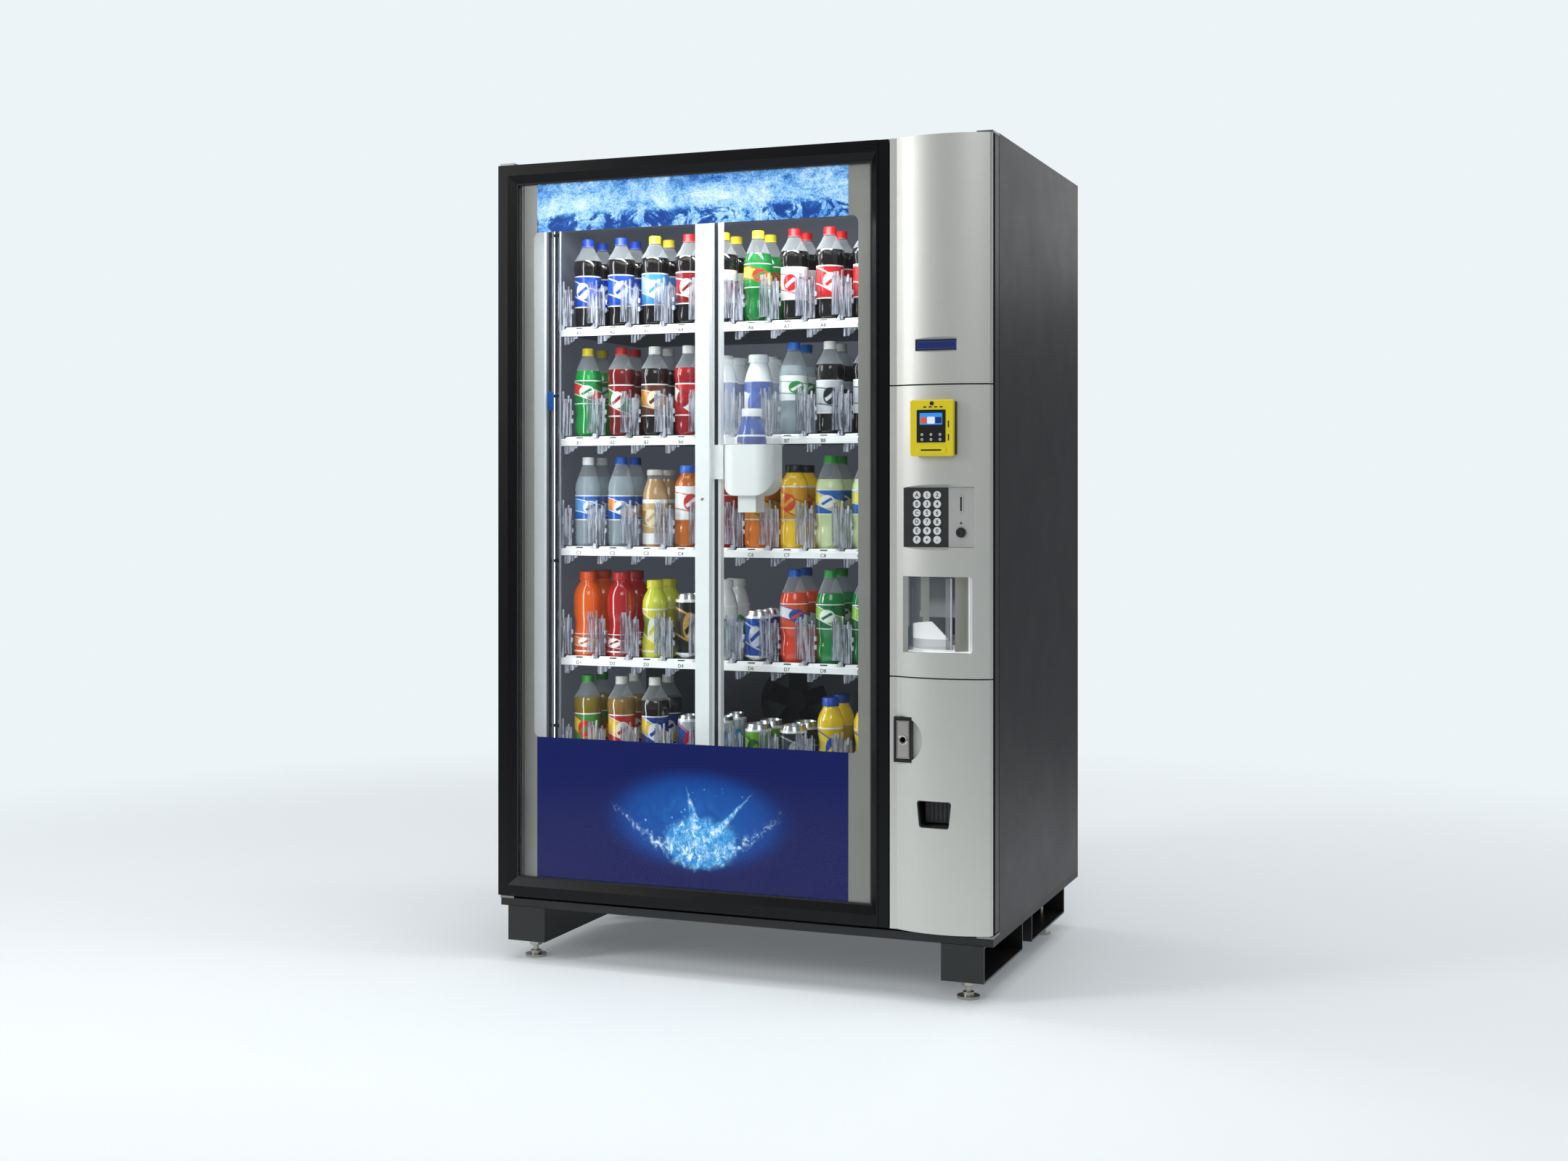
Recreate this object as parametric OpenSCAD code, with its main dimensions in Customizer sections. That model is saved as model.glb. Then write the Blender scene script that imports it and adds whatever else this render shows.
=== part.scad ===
// Glass-front drinks vending machine with a lift-and-travel delivery cup.
// The origin is on the floor, under the middle of the whole machine. The front faces -Y and +X is
// the customer's right. Depths written as "d" are measured backwards from the front of the doors.

/* [Overall] */
// Width of the cabinet and of the two doors together
machine_w = 1194; // [990:1:1440]
// Depth from the front of the doors to the back wall
machine_d = 834; // [690:1:1010]
// Height from the floor to the top of the roof
machine_h = 1871; // [1555:1:2250]
// Width of the service door, on the customer's right
service_w = 229; // [215:1:275]

/* [Cabinet] */
// Thickness of the insulated side walls
side_wall = 32; // [20:1:40]
// Thickness of the back wall
back_wall = 45; // [25:1:60]
// Thickness of the roof
roof_wall_t = 53; // [30:1:70]
// Thickness of the insulated floor over the cooling unit
floor_wall = 40; // [25:1:50]
// Height of the underside of the insulated floor
floor_z = 322; // [290:1:340]
// Thickness of the wall between the drinks and the service bay
divider_w = 40; // [25:1:45]
// Width of the service bay behind the service door
bay_w = 235; // [225:1:260]
// Gap between the doors and the cabinet
door_clearance = 4; // [4:0.5:8]

/* [Base] */
// Height of the legs, from the foot flange to the base pan
leg_h = 80; // [60:1:110]
// Width of a leg
leg_w = 96; // [70:1:130]
// Distance of a leg from the side of the cabinet
leg_inset = 20; // [10:1:40]
// Sheet thickness of the legs
leg_sheet = 4; // [3:0.5:6]
// Open gap between a front leg and the back leg behind it
leg_gap = 86; // [60:1:160]
// Height that the levelling feet raise the legs
foot_h = 44; // [30:1:60]
// Diameter of a levelling foot's disc
foot_disc = 50; // [36:1:64]
// Diameter of a levelling foot's stem
foot_stem = 12; // [8:1:16]
// Thickness of the base pan
base_pan_t = 18; // [12:1:30]
// Gap under the doors
under_door_gap = 8; // [6:1:14]

/* [Doors] */
// Thickness of the two doors
door_t = 60; // [50:1:64]
// Gap above the doors, up to the top of the roof
above_door_gap = 8; // [7:1:14]
// Width of the flat outer band of the glass door's frame
frame_flat = 25; // [22:1:40]
// Width of the band that slopes in from the flat one to the glass
frame_slope = 18; // [8:1:30]
// How far that band slopes back
frame_slope_d = 11; // [4:1:12]
// Width of the latch stile on the glass door's right
stile_w = 24; // [16:1:40]
// Width of the frame beside the latch stile
stile_frame = 17; // [12:1:30]
// Thickness of a glass pane
pane_t = 4; // [3:0.5:6]
// Depth that a pane sits in its groove
pane_grip = 6; // [4:1:8]
// Clearance of a pane in its groove
pane_clearance = 0.25; // [0.1:0.05:0.5]
// Distance of a hinge axis from the side of the cabinet
hinge_inset = 13; // [12:0.5:15]
// Depth of the hinge axes
hinge_d = 25; // [22:1:28]
// Radius of the hinge pins
pin_r = 4.5; // [3.5:0.25:5]
// Running clearance of a turning pin or shaft, all round
run_clearance = 0.05; // [0.02:0.01:0.1]
// Height of the picture over the window
header_h = 115; // [60:1:160]
// Height of the picture under the window
lower_art_h = 330; // [250:1:345]
// Width of the printed border on the left of the window
mask_left = 42; // [30:1:60]
// Width of the printed border on the right of the window
mask_right = 34; // [20:1:50]

/* [Service door covers] */
// How far the covers bulge forwards
bulge = 22; // [16:1:30]
// Width of the flat strip at the left of the covers
strip_w = 16; // [10:1:22]
// Size of the bevel along the right of the covers
cover_bevel = 6; // [3:1:8]
// Thickness of the covers
cover_t = 3; // [2:0.5:4]
// Gap between two covers
cover_seam = 3; // [2:0.5:5]
// Height of the seam over the card reader
upper_seam_z = 1327; // [1310:1:1380]
// Height of the seam under the delivery port
lower_seam_z = 697; // [640:1:720]
// Width of the display
display_w = 93; // [70:1:120]
// Height of the display
display_h = 23; // [16:1:40]
// Height of the display's centre
display_z = 1412; // [1360:1:1480]

/* [Payment] */
// Width of the card reader
reader_w = 99; // [80:1:110]
// Height of the card reader
reader_h = 120; // [100:1:140]
// Height of the card reader's centre
reader_z = 1233; // [1200:1:1250]
// How far the card reader stands in front of the covers
reader_proud = 20; // [12:1:30]
// Height of the keypad and the coin plate
keypad_h = 128; // [122:1:150]
// Width of the keypad
keypad_w = 101; // [80:1:104]
// Width of the coin plate
coin_w = 57; // [46:1:60]
// Height of the centre of the keypad and the coin plate
keypad_z = 1042; // [1020:1:1060]
// Diameter of a key
key_dia = 17; // [12:0.5:18]
// Distance between key columns
key_pitch_x = 22.8; // [20:0.1:25]
// Distance between key rows
key_pitch_z = 19.2; // [18.5:0.1:21]
// How far a key stands out of its plate
key_proud = 2.2; // [1.8:0.1:4]
// Clearance of a key in its hole, all round
key_clearance = 0.3; // [0.15:0.05:0.5]
// Width of the coin slot
coin_slot_w = 5; // [4:0.5:6]
// Height of the coin slot
coin_slot_h = 39; // [30:1:44]
// Diameter of the coin return knob
knob_dia = 21; // [16:0.5:26]

/* [Delivery port, lock and coin return] */
// Width of the delivery port
port_w = 161; // [140:1:170]
// Height of the delivery port
port_h = 164; // [130:1:176]
// Height of the delivery port's sill
port_z = 751; // [740:1:770]
// Radius of the turning port shield
drum_r = 82; // [68:1:84]
// Wall of the turning port shield
drum_wall = 4; // [3:0.5:6]
// Width of the lock's surround
lock_w = 41; // [34:1:50]
// Height of the lock's surround
lock_h = 98; // [80:1:120]
// Height of the lock's centre
lock_z = 562; // [480:1:600]
// Radius of the round recess that the lock sits in
lock_recess_r = 50; // [40:1:60]
// Width of the coin return at its top
return_w = 79; // [60:1:100]
// Height of the coin return
return_h = 58; // [46:1:80]
// Height of the bottom of the coin return
return_z = 376; // [300:1:400]

/* [Shelves and stock] */
// Height of the top of the lowest shelf
shelf_z0 = 428; // [422:1:460]
// Distance between shelves
shelf_pitch = 266; // [250:1:330]
// Depth of the shelves' front
shelf_d = 198; // [194:1:230]
// Height of the price rails
rail_h = 17; // [12:1:24]
// Distance between lanes
lane_pitch = 90; // [75:1:110]
// Width of a bottle gate
gate_w = 45; // [30:1:60]
// Height of a bottle gate
gate_h = 113; // [80:1:140]
// Diameter of a bottle
bottle_dia = 73; // [60:1:74]
// Height of a bottle
bottle_h = 222; // [180:1:232]

/* [Delivery cup] */
// Distance of the middle of the cup from the middle of the machine
cup_x = -6; // [-60:1:60]
// Height of the bottom of the cup
cup_z = 1088; // [700:1:1140]
// Width of the cup
cup_w = 120; // [100:1:130]
// Height of the cup's white wall
cup_h = 117; // [90:1:150]
// Height of the clear shield over the cup
shield_h = 196; // [120:1:240]
// Width of the column's housing
column_w = 35; // [24:1:38]
// Width of the column's guide bar
guide_w = 20; // [14:1:22]
// Clearance between a guide and what slides on it
slide_clearance = 0.5; // [0.3:0.1:1]

/* [Hidden] */
$fn = 64;
eps = 0.01;

// Frame of the whole machine
half_w = machine_w / 2;
proud = bulge + reader_proud;
face_y = -(machine_d - proud) / 2;
cabinet_d0 = door_t + door_clearance;
wall_in = half_w - side_wall;
back_in = machine_d - back_wall;
base_z = foot_h + leg_h;
cabinet_z = base_z + base_pan_t;
door_z0 = cabinet_z + under_door_gap;
door_z1 = machine_h - above_door_gap;
roof_in = machine_h - roof_wall_t;
floor_top = floor_z + floor_wall;
divider_x1 = wall_in - bay_w;
divider_x0 = divider_x1 - divider_w;
hinge_x = half_w - hinge_inset;

// Glass door
split_x = half_w - service_w;
door_x0 = -half_w;
door_x1 = split_x - 2;
frame_x1 = door_x1 - stile_w;
frame_w = frame_flat + frame_slope;
glass_x0 = door_x0 + frame_w;
glass_x1 = frame_x1 - stile_frame;
glass_z0 = door_z0 + frame_w;
glass_z1 = door_z1 - frame_w;
outer_pane_d = frame_slope_d + 3;
inner_pane_d = door_t - 20;
window_z0 = glass_z0 + lower_art_h;
window_z1 = glass_z1 - header_h;
art_t = 2;
gasket_w = 14;
gasket_in = hinge_inset + 4;

// Service door
cover_x0 = split_x + 1.5;
pan_x0 = split_x + 3;
cover_x1 = half_w;
cover_d = 12;
chord = cover_x1 - cover_bevel - cover_x0 - strip_w;
bulge_x = cover_x1 - cover_bevel - chord / 2;
bulge_r = (chord * chord / 4 + bulge * bulge) / (2 * bulge);
pan_step_d = 28;
pan_rim = 10;
pan_hinge_rim = 24;
pan_bar = 40;

// Payment unit
unit_x0 = split_x + 35;
unit_d = -7;
plate_t = 5;
unit_x1 = unit_x0 + keypad_w + coin_w;
reader_x = split_x + 109.5;
display_x = reader_x + 1;
display_d = -13;
key_flange = 1.5;
key_x0 = unit_x0 + 30.4;
key_z0 = keypad_z + 2.5 * key_pitch_z;
knob_x = unit_x0 + keypad_w + coin_w / 2 - 0.5;
knob_z = keypad_z - keypad_h / 4;
coin_slot_z = keypad_z + keypad_h / 4 - 3;

// Delivery port
port_x0 = split_x + 29;
port_x1 = port_x0 + port_w;
port_x = port_x0 + 73;
port_d = drum_r + 6;
port_span = 87;
port_lead = 27;
bucket_z = port_z - 13;
bucket_t = 11;
ring_h = 5;

// Lock and coin return
lock_x = split_x + 34.5;
lock_d0 = -12;
lock_d1 = 20;
return_x = split_x + 106.5;
return_d0 = -13;
return_d1 = 54;
return_taper = 6;
flap_d = 15;
flap_t = 2;
flap_z = return_z + return_h - 5;
flap_pin_r = 1.5;

// Shelves
lane_x0 = -wall_in + 34;
lanes = floor((divider_x0 - lane_x0) / lane_pitch);
shelves = floor((roof_in - shelf_z0) / shelf_pitch);
tray_t = 8;
rail_t = 8;
gate_t = 4;
evaporator_d = back_in - 90;
bottle_rows = 2;
bottle_d0 = shelf_d + rail_t + 4 + bottle_dia / 2;
bottle_row_pitch = bottle_dia + 6;

// Delivery cup and its gantry
aisle_d = 84;
cup_d1 = 168;
cup_wall = 4;
guide_d = 104;
guide_t = 20;
shoe_w = 26;
cup_x0 = cup_x - cup_w / 2;
guide_x1 = cup_x0 - 7;
guide_x0 = guide_x1 - guide_w;
column_x0 = guide_x0 - column_w;
track_d = 174;
track_t = 12;
track_h = 16;
low_track_z = floor_top + 12;
high_track_z = roof_in - 46;
truck_wall = 4;
truck_h = track_h + 2 * slide_clearance + 14;

// Places a cuboid by its left, right, front depth, back depth, bottom and top
module block(x0, x1, d0, d1, z0, z1)
    translate([x0, face_y + d0, z0]) cube([x1 - x0, d1 - d0, z1 - z0]);

// Extrudes an outline drawn from above, as x and depth, between two heights
module from_above(z0, z1) translate([0, face_y, z0]) linear_extrude(z1 - z0) children();

// Extrudes an outline drawn from the front, as x and z, between two depths
module from_front(d0, d1)
    translate([0, face_y + d1, 0]) rotate([90, 0, 0]) linear_extrude(d1 - d0) children();

// Extrudes an outline drawn from the side, as depth and z, between two places across
module from_side(x0, x1)
    translate([x0, face_y, 0]) rotate([90, 0, 90]) linear_extrude(x1 - x0) children();

// A round bar or bore along the depth
module bore_y(x, z, r, d0, d1)
    translate([x, face_y + d1, z]) rotate([90, 0, 0]) cylinder(r = r, h = d1 - d0);

// An upright round bar or bore
module bore_z(x, d, r, z0, z1) translate([x, face_y + d, z0]) cylinder(r = r, h = z1 - z0);

function unit(v) = v / norm(v);
function turn(a) = a > 180 ? a - 360 : a < -180 ? a + 360 : a;

// Points of one rounded corner at p, between its neighbours a and b
function corner(p, a, b, r, n) =
    let (u = unit(a - p), v = unit(b - p), half = acos(u * v) / 2,
         c = p + unit(u + v) * r / sin(half), s = p + u * r / tan(half) - c,
         e = p + v * r / tan(half) - c, a0 = atan2(s[1], s[0]), da = turn(atan2(e[1], e[0]) - a0))
    [for (i = [0:n]) c + r * [cos(a0 + da * i / n), sin(a0 + da * i / n)]];

// An outline with every corner rounded
function rounded(pts, r, n = 6) =
    [for (i = [0:len(pts) - 1])
        each corner(pts[i], pts[(i + len(pts) - 1) % len(pts)], pts[(i + 1) % len(pts)], r, n)];

function box_points(x0, x1, y0, y1) = [[x0, y0], [x1, y0], [x1, y1], [x0, y1]];

// ---- Cabinet ----

module side_walls() color("#26262a")
    for (s = [-1, 1])
        block(min(s * half_w, s * wall_in), max(s * half_w, s * wall_in), cabinet_d0, machine_d,
              cabinet_z, roof_in);

module roof_wall() color("#202023")
    block(-half_w, half_w, cabinet_d0, machine_d, roof_in, machine_h);

// The back wall has louvres for the cooling unit and a boss where the mains lead leaves
vent_rows = 9;
vent_h = 7;
vent_pitch = 16;
vent_w = 0.36 * wall_in;
inlet_r = 14;
inlet_x = -wall_in + 70;
inlet_z = cabinet_z + 60;
module rear_wall() color("#2b2b2f") {
    difference() {
        block(-wall_in, wall_in, back_in, machine_d, cabinet_z, roof_in);
        for (s = [-1, 1], i = [0:vent_rows - 1])
            block(s * wall_in / 2.6 - vent_w / 2, s * wall_in / 2.6 + vent_w / 2,
                  back_in - 1, machine_d + 1,
                  cabinet_z + 24 + i * vent_pitch, cabinet_z + 24 + i * vent_pitch + vent_h);
        bore_y(inlet_x, inlet_z, inlet_r, machine_d - 12, machine_d + 1);
    }
}

module insulated_floor() color("#c9cccd")
    block(-wall_in, wall_in, cabinet_d0, back_in, floor_z, floor_top);

// Wall between the drinks and the service bay, with the window that the cup pushes a bottle through
window_d0 = aisle_d - 8;
window_d1 = window_d0 + 92;
chute_x1 = split_x - 4;
module compartment_divider() color("#d5d8d8") {
    difference() {
        block(divider_x0, divider_x1, cabinet_d0, back_in, floor_top, roof_in);
        block(divider_x0 - 1, divider_x1 + 1, window_d0, window_d1, port_z, port_z + port_h + 10);
    }
    block(divider_x1 - eps, chute_x1, window_d0, window_d1, port_z - 7, port_z);
}

// ---- Base ----

base_slots = 12;
module base_frame() color("#1d1d20")
    difference() {
        block(-half_w, half_w, 14, machine_d, base_z, cabinet_z);
        for (i = [0:base_slots - 1])
            block(-wall_in + 150 + i * 18, -wall_in + 158 + i * 18, 110, machine_d / 3,
                  base_z - 1, cabinet_z + 1);
    }

// Each leg is a folded channel, open towards the outside of the machine
leg_front_d = 12;
leg_back_inset = 66;
leg_len = (machine_d - leg_front_d - leg_back_inset - leg_gap) / 2;
function leg_d0(back) = back ? machine_d - leg_back_inset - leg_len : leg_front_d;
function foot_x(side) = side * (half_w - leg_inset - leg_w / 2);
function foot_d(back) = leg_d0(back) + (back ? leg_len - leg_w / 2 : leg_w / 2);
module leg(side, back) {
    x_out = side * (half_w - leg_inset);
    x_in = side * (half_w - leg_inset - leg_w);
    x_web = x_in + side * leg_sheet;
    d0 = leg_d0(back);
    difference() {
        block(min(x_out, x_in), max(x_out, x_in), d0, d0 + leg_len, foot_h, base_z);
        block(min(x_web, x_out + side), max(x_web, x_out + side),
              d0 + leg_sheet, d0 + leg_len - leg_sheet, foot_h + leg_sheet, base_z - leg_sheet);
        bore_z(foot_x(side), foot_d(back), foot_stem / 2 + slide_clearance, foot_h - 1,
               foot_h + leg_sheet + 1);
    }
}
module legs() color("#242626")
    for (side = [-1, 1], back = [0, 1]) leg(side, back);

module levelling_feet() color("#9a9c9e")
    for (side = [-1, 1], back = [0, 1]) {
        bore_z(foot_x(side), foot_d(back), foot_disc / 2, 0, 6);
        bore_z(foot_x(side), foot_d(back), foot_disc / 4, 6 - eps, 14);
        bore_z(foot_x(side), foot_d(back), foot_stem / 2, 14 - eps, foot_h + 22);
        translate([foot_x(side), face_y + foot_d(back), foot_h - 9])
            cylinder(r = foot_stem * 0.95, h = 9, $fn = 6);
    }

// Plates at the four corners of the doors, each with a pin that a door turns on
bracket_t = 5;
pin_len = 24;
module hinge_bracket(side, top) {
    x0 = side * (half_w - 36);
    z0 = top ? door_z1 + 1.5 : cabinet_z;
    d1 = top ? cabinet_d0 : cabinet_d0 + 20;
    block(min(x0, side * half_w), max(x0, side * half_w), 10, top ? d1 : cabinet_d0, z0,
          z0 + bracket_t);
    bore_z(side * hinge_x, hinge_d, pin_r, top ? door_z1 - pin_len : z0 + bracket_t - eps,
           top ? z0 + eps : door_z0 + pin_len);
}
module hinge_brackets() color("#b9bbbd")
    for (side = [-1, 1], top = [0, 1]) hinge_bracket(side, top);

// ---- Shelves, gates and stock ----

function shelf_top(i) = shelf_z0 + i * shelf_pitch;

rib_w = 3 / 17 * (lane_pitch - bottle_dia);
rib_h = 6;
module shelf_trays() color("#b9bdc0")
    for (i = [0:shelves - 1]) {
        block(-wall_in, divider_x0, shelf_d + rail_t, evaporator_d, shelf_top(i) - tray_t,
              shelf_top(i));
        for (j = [0:lanes])
            block(lane_x0 + j * lane_pitch - rib_w / 2, lane_x0 + j * lane_pitch + rib_w / 2,
                  shelf_d + rail_t, evaporator_d, shelf_top(i) - eps, shelf_top(i) + rib_h);
    }

module price_rails() color("#f2f4f4")
    for (i = [0:shelves - 1])
        from_side(lane_x0 - 8, divider_x0 - 4)
            polygon([[shelf_d, shelf_top(i) - rail_h], [shelf_d + rail_t, shelf_top(i) - rail_h],
                     [shelf_d + rail_t, shelf_top(i)], [shelf_d + 3, shelf_top(i)],
                     [shelf_d, shelf_top(i) - 3]]);

// A clear gate stands at each side of a lane, and a clear finger hangs under it
finger_w = 38;
finger_h = 22;
gate_d = shelf_d + 3.5;
module dispensing_gates() color("#dfe8ec", 0.5)
    for (i = [0:shelves - 1], j = [0:lanes]) {
        half = j == lanes ? min(gate_w / 2, divider_x0 - lane_x0 - lanes * lane_pitch - 2) : gate_w / 2;
        x = lane_x0 + j * lane_pitch;
        block(x - gate_w / 2, x + half, gate_d, gate_d + gate_t, shelf_top(i), shelf_top(i) + gate_h);
        block(x - finger_w / 2, x + min(half, finger_w / 2), shelf_d + 1, shelf_d + 4,
              shelf_top(i) - rail_h - finger_h, shelf_top(i) - rail_h);
    }

// One bottle's outline: foot, body, shoulder and cap
module bottle() {
    r = bottle_dia / 2;
    cap_r = 14;
    rotate_extrude()
        polygon([[0, 0], [r - 5, 0], [r, 6], [r, 0.62 * bottle_h], [cap_r + 6, 0.9 * bottle_h],
                 [cap_r, bottle_h], [0, bottle_h]]);
}
module stock() color("#7a2f2a")
    for (i = [0:shelves - 1], j = [0:lanes - 1], k = [0:bottle_rows - 1])
        translate([lane_x0 + (j + 0.5) * lane_pitch, face_y + bottle_d0 + k * bottle_row_pitch,
                   shelf_top(i)])
            bottle();

// ---- Lamps and cooling ----

lamp_w = 56;
lamp_t = 10;
module light_bars() color("#f7f8f6") {
    block(-wall_in, -wall_in + lamp_w, cabinet_d0 + 2, cabinet_d0 + 2 + lamp_t,
          floor_top + 10, roof_in - 20);
    block(-wall_in + lamp_w + 10, divider_x0 - 10, cabinet_d0 + 2, cabinet_d0 + 2 + lamp_t,
          roof_in - 14, roof_in);
}

// Compressor, condenser, its fan shroud and the drain tray, all on the base pan
fins = 24;
module cooling_unit() {
    bay = floor_z - cabinet_z;
    color("#1f2022") {
        bore_z(130, machine_d * 0.62, 72, cabinet_z + 14, cabinet_z + bay - 45);
        bore_z(130, machine_d * 0.62, 50, cabinet_z + bay - 45 - eps, cabinet_z + bay - 25);
        block(60, 200, machine_d * 0.62 - 45, machine_d * 0.62 + 45, cabinet_z, cabinet_z + 14 + eps);
    }
    color("#b8bbbe")
        for (i = [0:fins - 1])
            block(-380 + i * 14, -377 + i * 14, 110, 200, cabinet_z + 8, cabinet_z + bay - 14);
    color("#55585c") {
        for (z = [cabinet_z, cabinet_z + bay - 14])
            block(-386, -374 + (fins - 1) * 14 + 6, 104, 206, z, z + 8);
    }
    color("#c5c8ca")
        block(-wall_in + 40, -20, machine_d * 0.5, machine_d * 0.7, cabinet_z, cabinet_z + 26);
}

// Duct behind the lowest shelves, with the round mouth that the fan turns in
fan_r = 88;
fan_gap = 5;
fan_x = -120;
fan_z = shelf_top(0) + 122;
housing_top = shelf_top(1) - tray_t - 12;
module evaporator_housing() color("#8d9194")
    difference() {
        block(-wall_in + 20, divider_x0 - 20, evaporator_d + 4, back_in, floor_top, housing_top);
        bore_y(fan_x, fan_z, fan_r + fan_gap, evaporator_d, evaporator_d + 52);
    }

blades = 5;
module evaporator_fan() color("#33363a") {
    fan_d = evaporator_d + 30;
    bore_y(fan_x, fan_z, 26, fan_d - 13, fan_d + 13);
    for (i = [0:blades - 1])
        translate([fan_x, face_y + fan_d, fan_z]) rotate([0, i * 360 / blades, 0])
            translate([0, 0, 22]) rotate([0, 0, 32])
                translate([-24, -1.25, 0]) cube([48, 2.5, fan_r - 26]);
}

// ---- Glass door ----

// Outline of a frame bar, from its outer edge inwards, with a groove for each pane
module bar_outline(flat, slope) {
    w = flat + slope;
    difference() {
        polygon([[0, 0], [flat, 0], [w, frame_slope_d], [w, door_t], [0, door_t]]);
        for (d = [outer_pane_d, inner_pane_d])
            translate([w - pane_grip, d - pane_clearance])
                square([pane_grip + 1, pane_t + 2 * pane_clearance]);
    }
}

module upright_bar(x_outer, dir, flat, slope)
    translate([x_outer, face_y, door_z0]) linear_extrude(door_z1 - door_z0)
        scale([dir, 1]) bar_outline(flat, slope);

module level_bar(z_outer, dir)
    translate([door_x0, face_y, z_outer]) rotate([90, 0, 90]) linear_extrude(frame_x1 - door_x0)
        rotate(90) mirror([0, 1]) scale([dir, 1]) bar_outline(frame_flat, frame_slope);

module door_frame() color("#101013") {
    difference() {
        union() {
            upright_bar(door_x0, 1, frame_flat, frame_slope);
            upright_bar(frame_x1, -1, stile_frame - 13, 13);
            level_bar(door_z0, 1);
            level_bar(door_z1, -1);
        }
        for (z = [door_z0 - 1, door_z1 - pin_len - 3])
            bore_z(-hinge_x, hinge_d, pin_r + run_clearance, z, z + pin_len + 4);
    }
    block(frame_x1 + eps, door_x1, 2, door_t, door_z0, door_z1);
}

module glass_panes() color("#cfe3e6", 0.25)
    for (d = [outer_pane_d, inner_pane_d])
        block(glass_x0 - pane_grip + pane_clearance, glass_x1 + pane_grip - pane_clearance,
              d, d + pane_t, glass_z0 - pane_grip + pane_clearance,
              glass_z1 + pane_grip - pane_clearance);

// Printed borders and pictures behind the outer pane
module glass_graphics() {
    d0 = outer_pane_d + pane_t;
    mid_x0 = glass_x0 + mask_left;
    mid_x1 = glass_x1 - mask_right;
    color("#7d7c74") {
        block(glass_x0 + 1, mid_x0, d0, d0 + art_t, glass_z0 + 1, glass_z1 - 1);
        block(mid_x1, glass_x1 - 1, d0, d0 + art_t, glass_z0 + 1, glass_z1 - 1);
    }
    color("#cfe6f2") block(mid_x0, mid_x1, d0, d0 + art_t, window_z1, glass_z1 - 1);
    color("#1a2266") block(mid_x0, mid_x1, d0, d0 + art_t, glass_z0 + 1, window_z0);
}

module door_gasket() color("#3b3d3f")
    difference() {
        block(door_x0 + gasket_in, frame_x1, door_t, door_t + door_clearance - 1,
              floor_top - 60, door_z1 - gasket_in);
        block(door_x0 + gasket_in + gasket_w, frame_x1 - gasket_w, door_t - 1,
              door_t + door_clearance, floor_top - 60 + gasket_w, door_z1 - gasket_in - gasket_w);
    }

// ---- Service door ----

// Outline of the bulging covers from above, drawn in by t
module cover_outline(t) {
    polygon([[cover_x0 + t, t], [cover_x1 - cover_bevel - t / 2, t], [cover_x1 - t, cover_bevel + t / 2],
             [cover_x1 - t, cover_d + (t > 0 ? 1 : 0)], [cover_x0 + t, cover_d + (t > 0 ? 1 : 0)]]);
    intersection() {
        translate([bulge_x, bulge_r - bulge]) circle(r = bulge_r - t, $fn = 256);
        translate([cover_x0 + t, -bulge - 1]) square([cover_x1 - cover_x0 - 2 * t, bulge + t + 2]);
    }
}

module cover_shell(z0, z1)
    difference() {
        from_above(z0, z1) cover_outline(0);
        from_above(z0 + cover_t, z1 - cover_t) cover_outline(cover_t);
    }

// Solid filling inside a cover, back to a depth, that a recess is cut in
module cover_fill(x0, x1, d1, z0, z1)
    intersection() {
        from_above(z0, z1) cover_outline(0);
        block(x0, x1, -bulge - 1, d1, z0 - 1, z1 + 1);
    }

// A recess whose top and bottom slope out towards the customer
module sloped_recess(x0, x1, d1, z0, z1, slope)
    from_side(x0, x1)
        polygon([[-bulge - 2, z0 - slope], [d1, z0], [d1, z1], [-bulge - 2, z1 + slope]]);

module upper_cover() color("#a9aaa4")
    difference() {
        union() {
            cover_shell(upper_seam_z + cover_seam / 2, door_z1);
            cover_fill(display_x - display_w / 2 - 6, display_x + display_w / 2 + 6, display_d + 6,
                       display_z - display_h / 2 - 12, display_z + display_h / 2 + 12);
        }
        sloped_recess(display_x - display_w / 2, display_x + display_w / 2, display_d + eps,
                      display_z - display_h / 2, display_z + display_h / 2, 6);
        block(display_x - display_w / 2, display_x + display_w / 2, display_d - 1, display_d + 8,
              display_z - display_h / 2, display_z + display_h / 2);
    }

module middle_cover() color("#b4b5af")
    difference() {
        union() {
            cover_shell(lower_seam_z + cover_seam / 2, upper_seam_z - cover_seam / 2);
            cover_fill(unit_x0 - 5, unit_x1 + 5, unit_d + plate_t,
                       keypad_z - keypad_h / 2 - 12, keypad_z + keypad_h / 2 + 12);
            cover_fill(port_x0 - 6, port_x1 + 6, 3, port_z - 6, port_z + port_h + 6);
        }
        block(reader_x - reader_w / 2 + 3, reader_x + reader_w / 2 - 3, -bulge - 1, cover_d + 1,
              reader_z - reader_h / 2 + 3, reader_z + reader_h / 2 - 3);
        sloped_recess(unit_x0, unit_x1, unit_d + eps, keypad_z - keypad_h / 2,
                      keypad_z + keypad_h / 2, 8);
        block(unit_x0, unit_x1, unit_d - 1, unit_d + plate_t + 1,
              keypad_z - keypad_h / 2, keypad_z + keypad_h / 2);
        intersection() {
            from_front(-bulge - 2, 4)
                polygon(rounded(box_points(port_x0, port_x1, port_z, port_z + port_h), 8));
            from_above(port_z - 1, port_z + port_h + 1)
                polygon([[port_x0, -bulge - 2], [port_x1 + 1, -bulge - 2], [port_x1 + 1, 4],
                         [port_x0 + 14, 4], [port_x0, -11]]);
        }
    }

function return_points(inset) =
    [[return_x - return_w / 2 + return_taper + inset, return_z + inset],
     [return_x + return_w / 2 - return_taper - inset, return_z + inset],
     [return_x + return_w / 2 - inset, return_z + return_h - inset],
     [return_x - return_w / 2 + inset, return_z + return_h - inset]];

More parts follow.
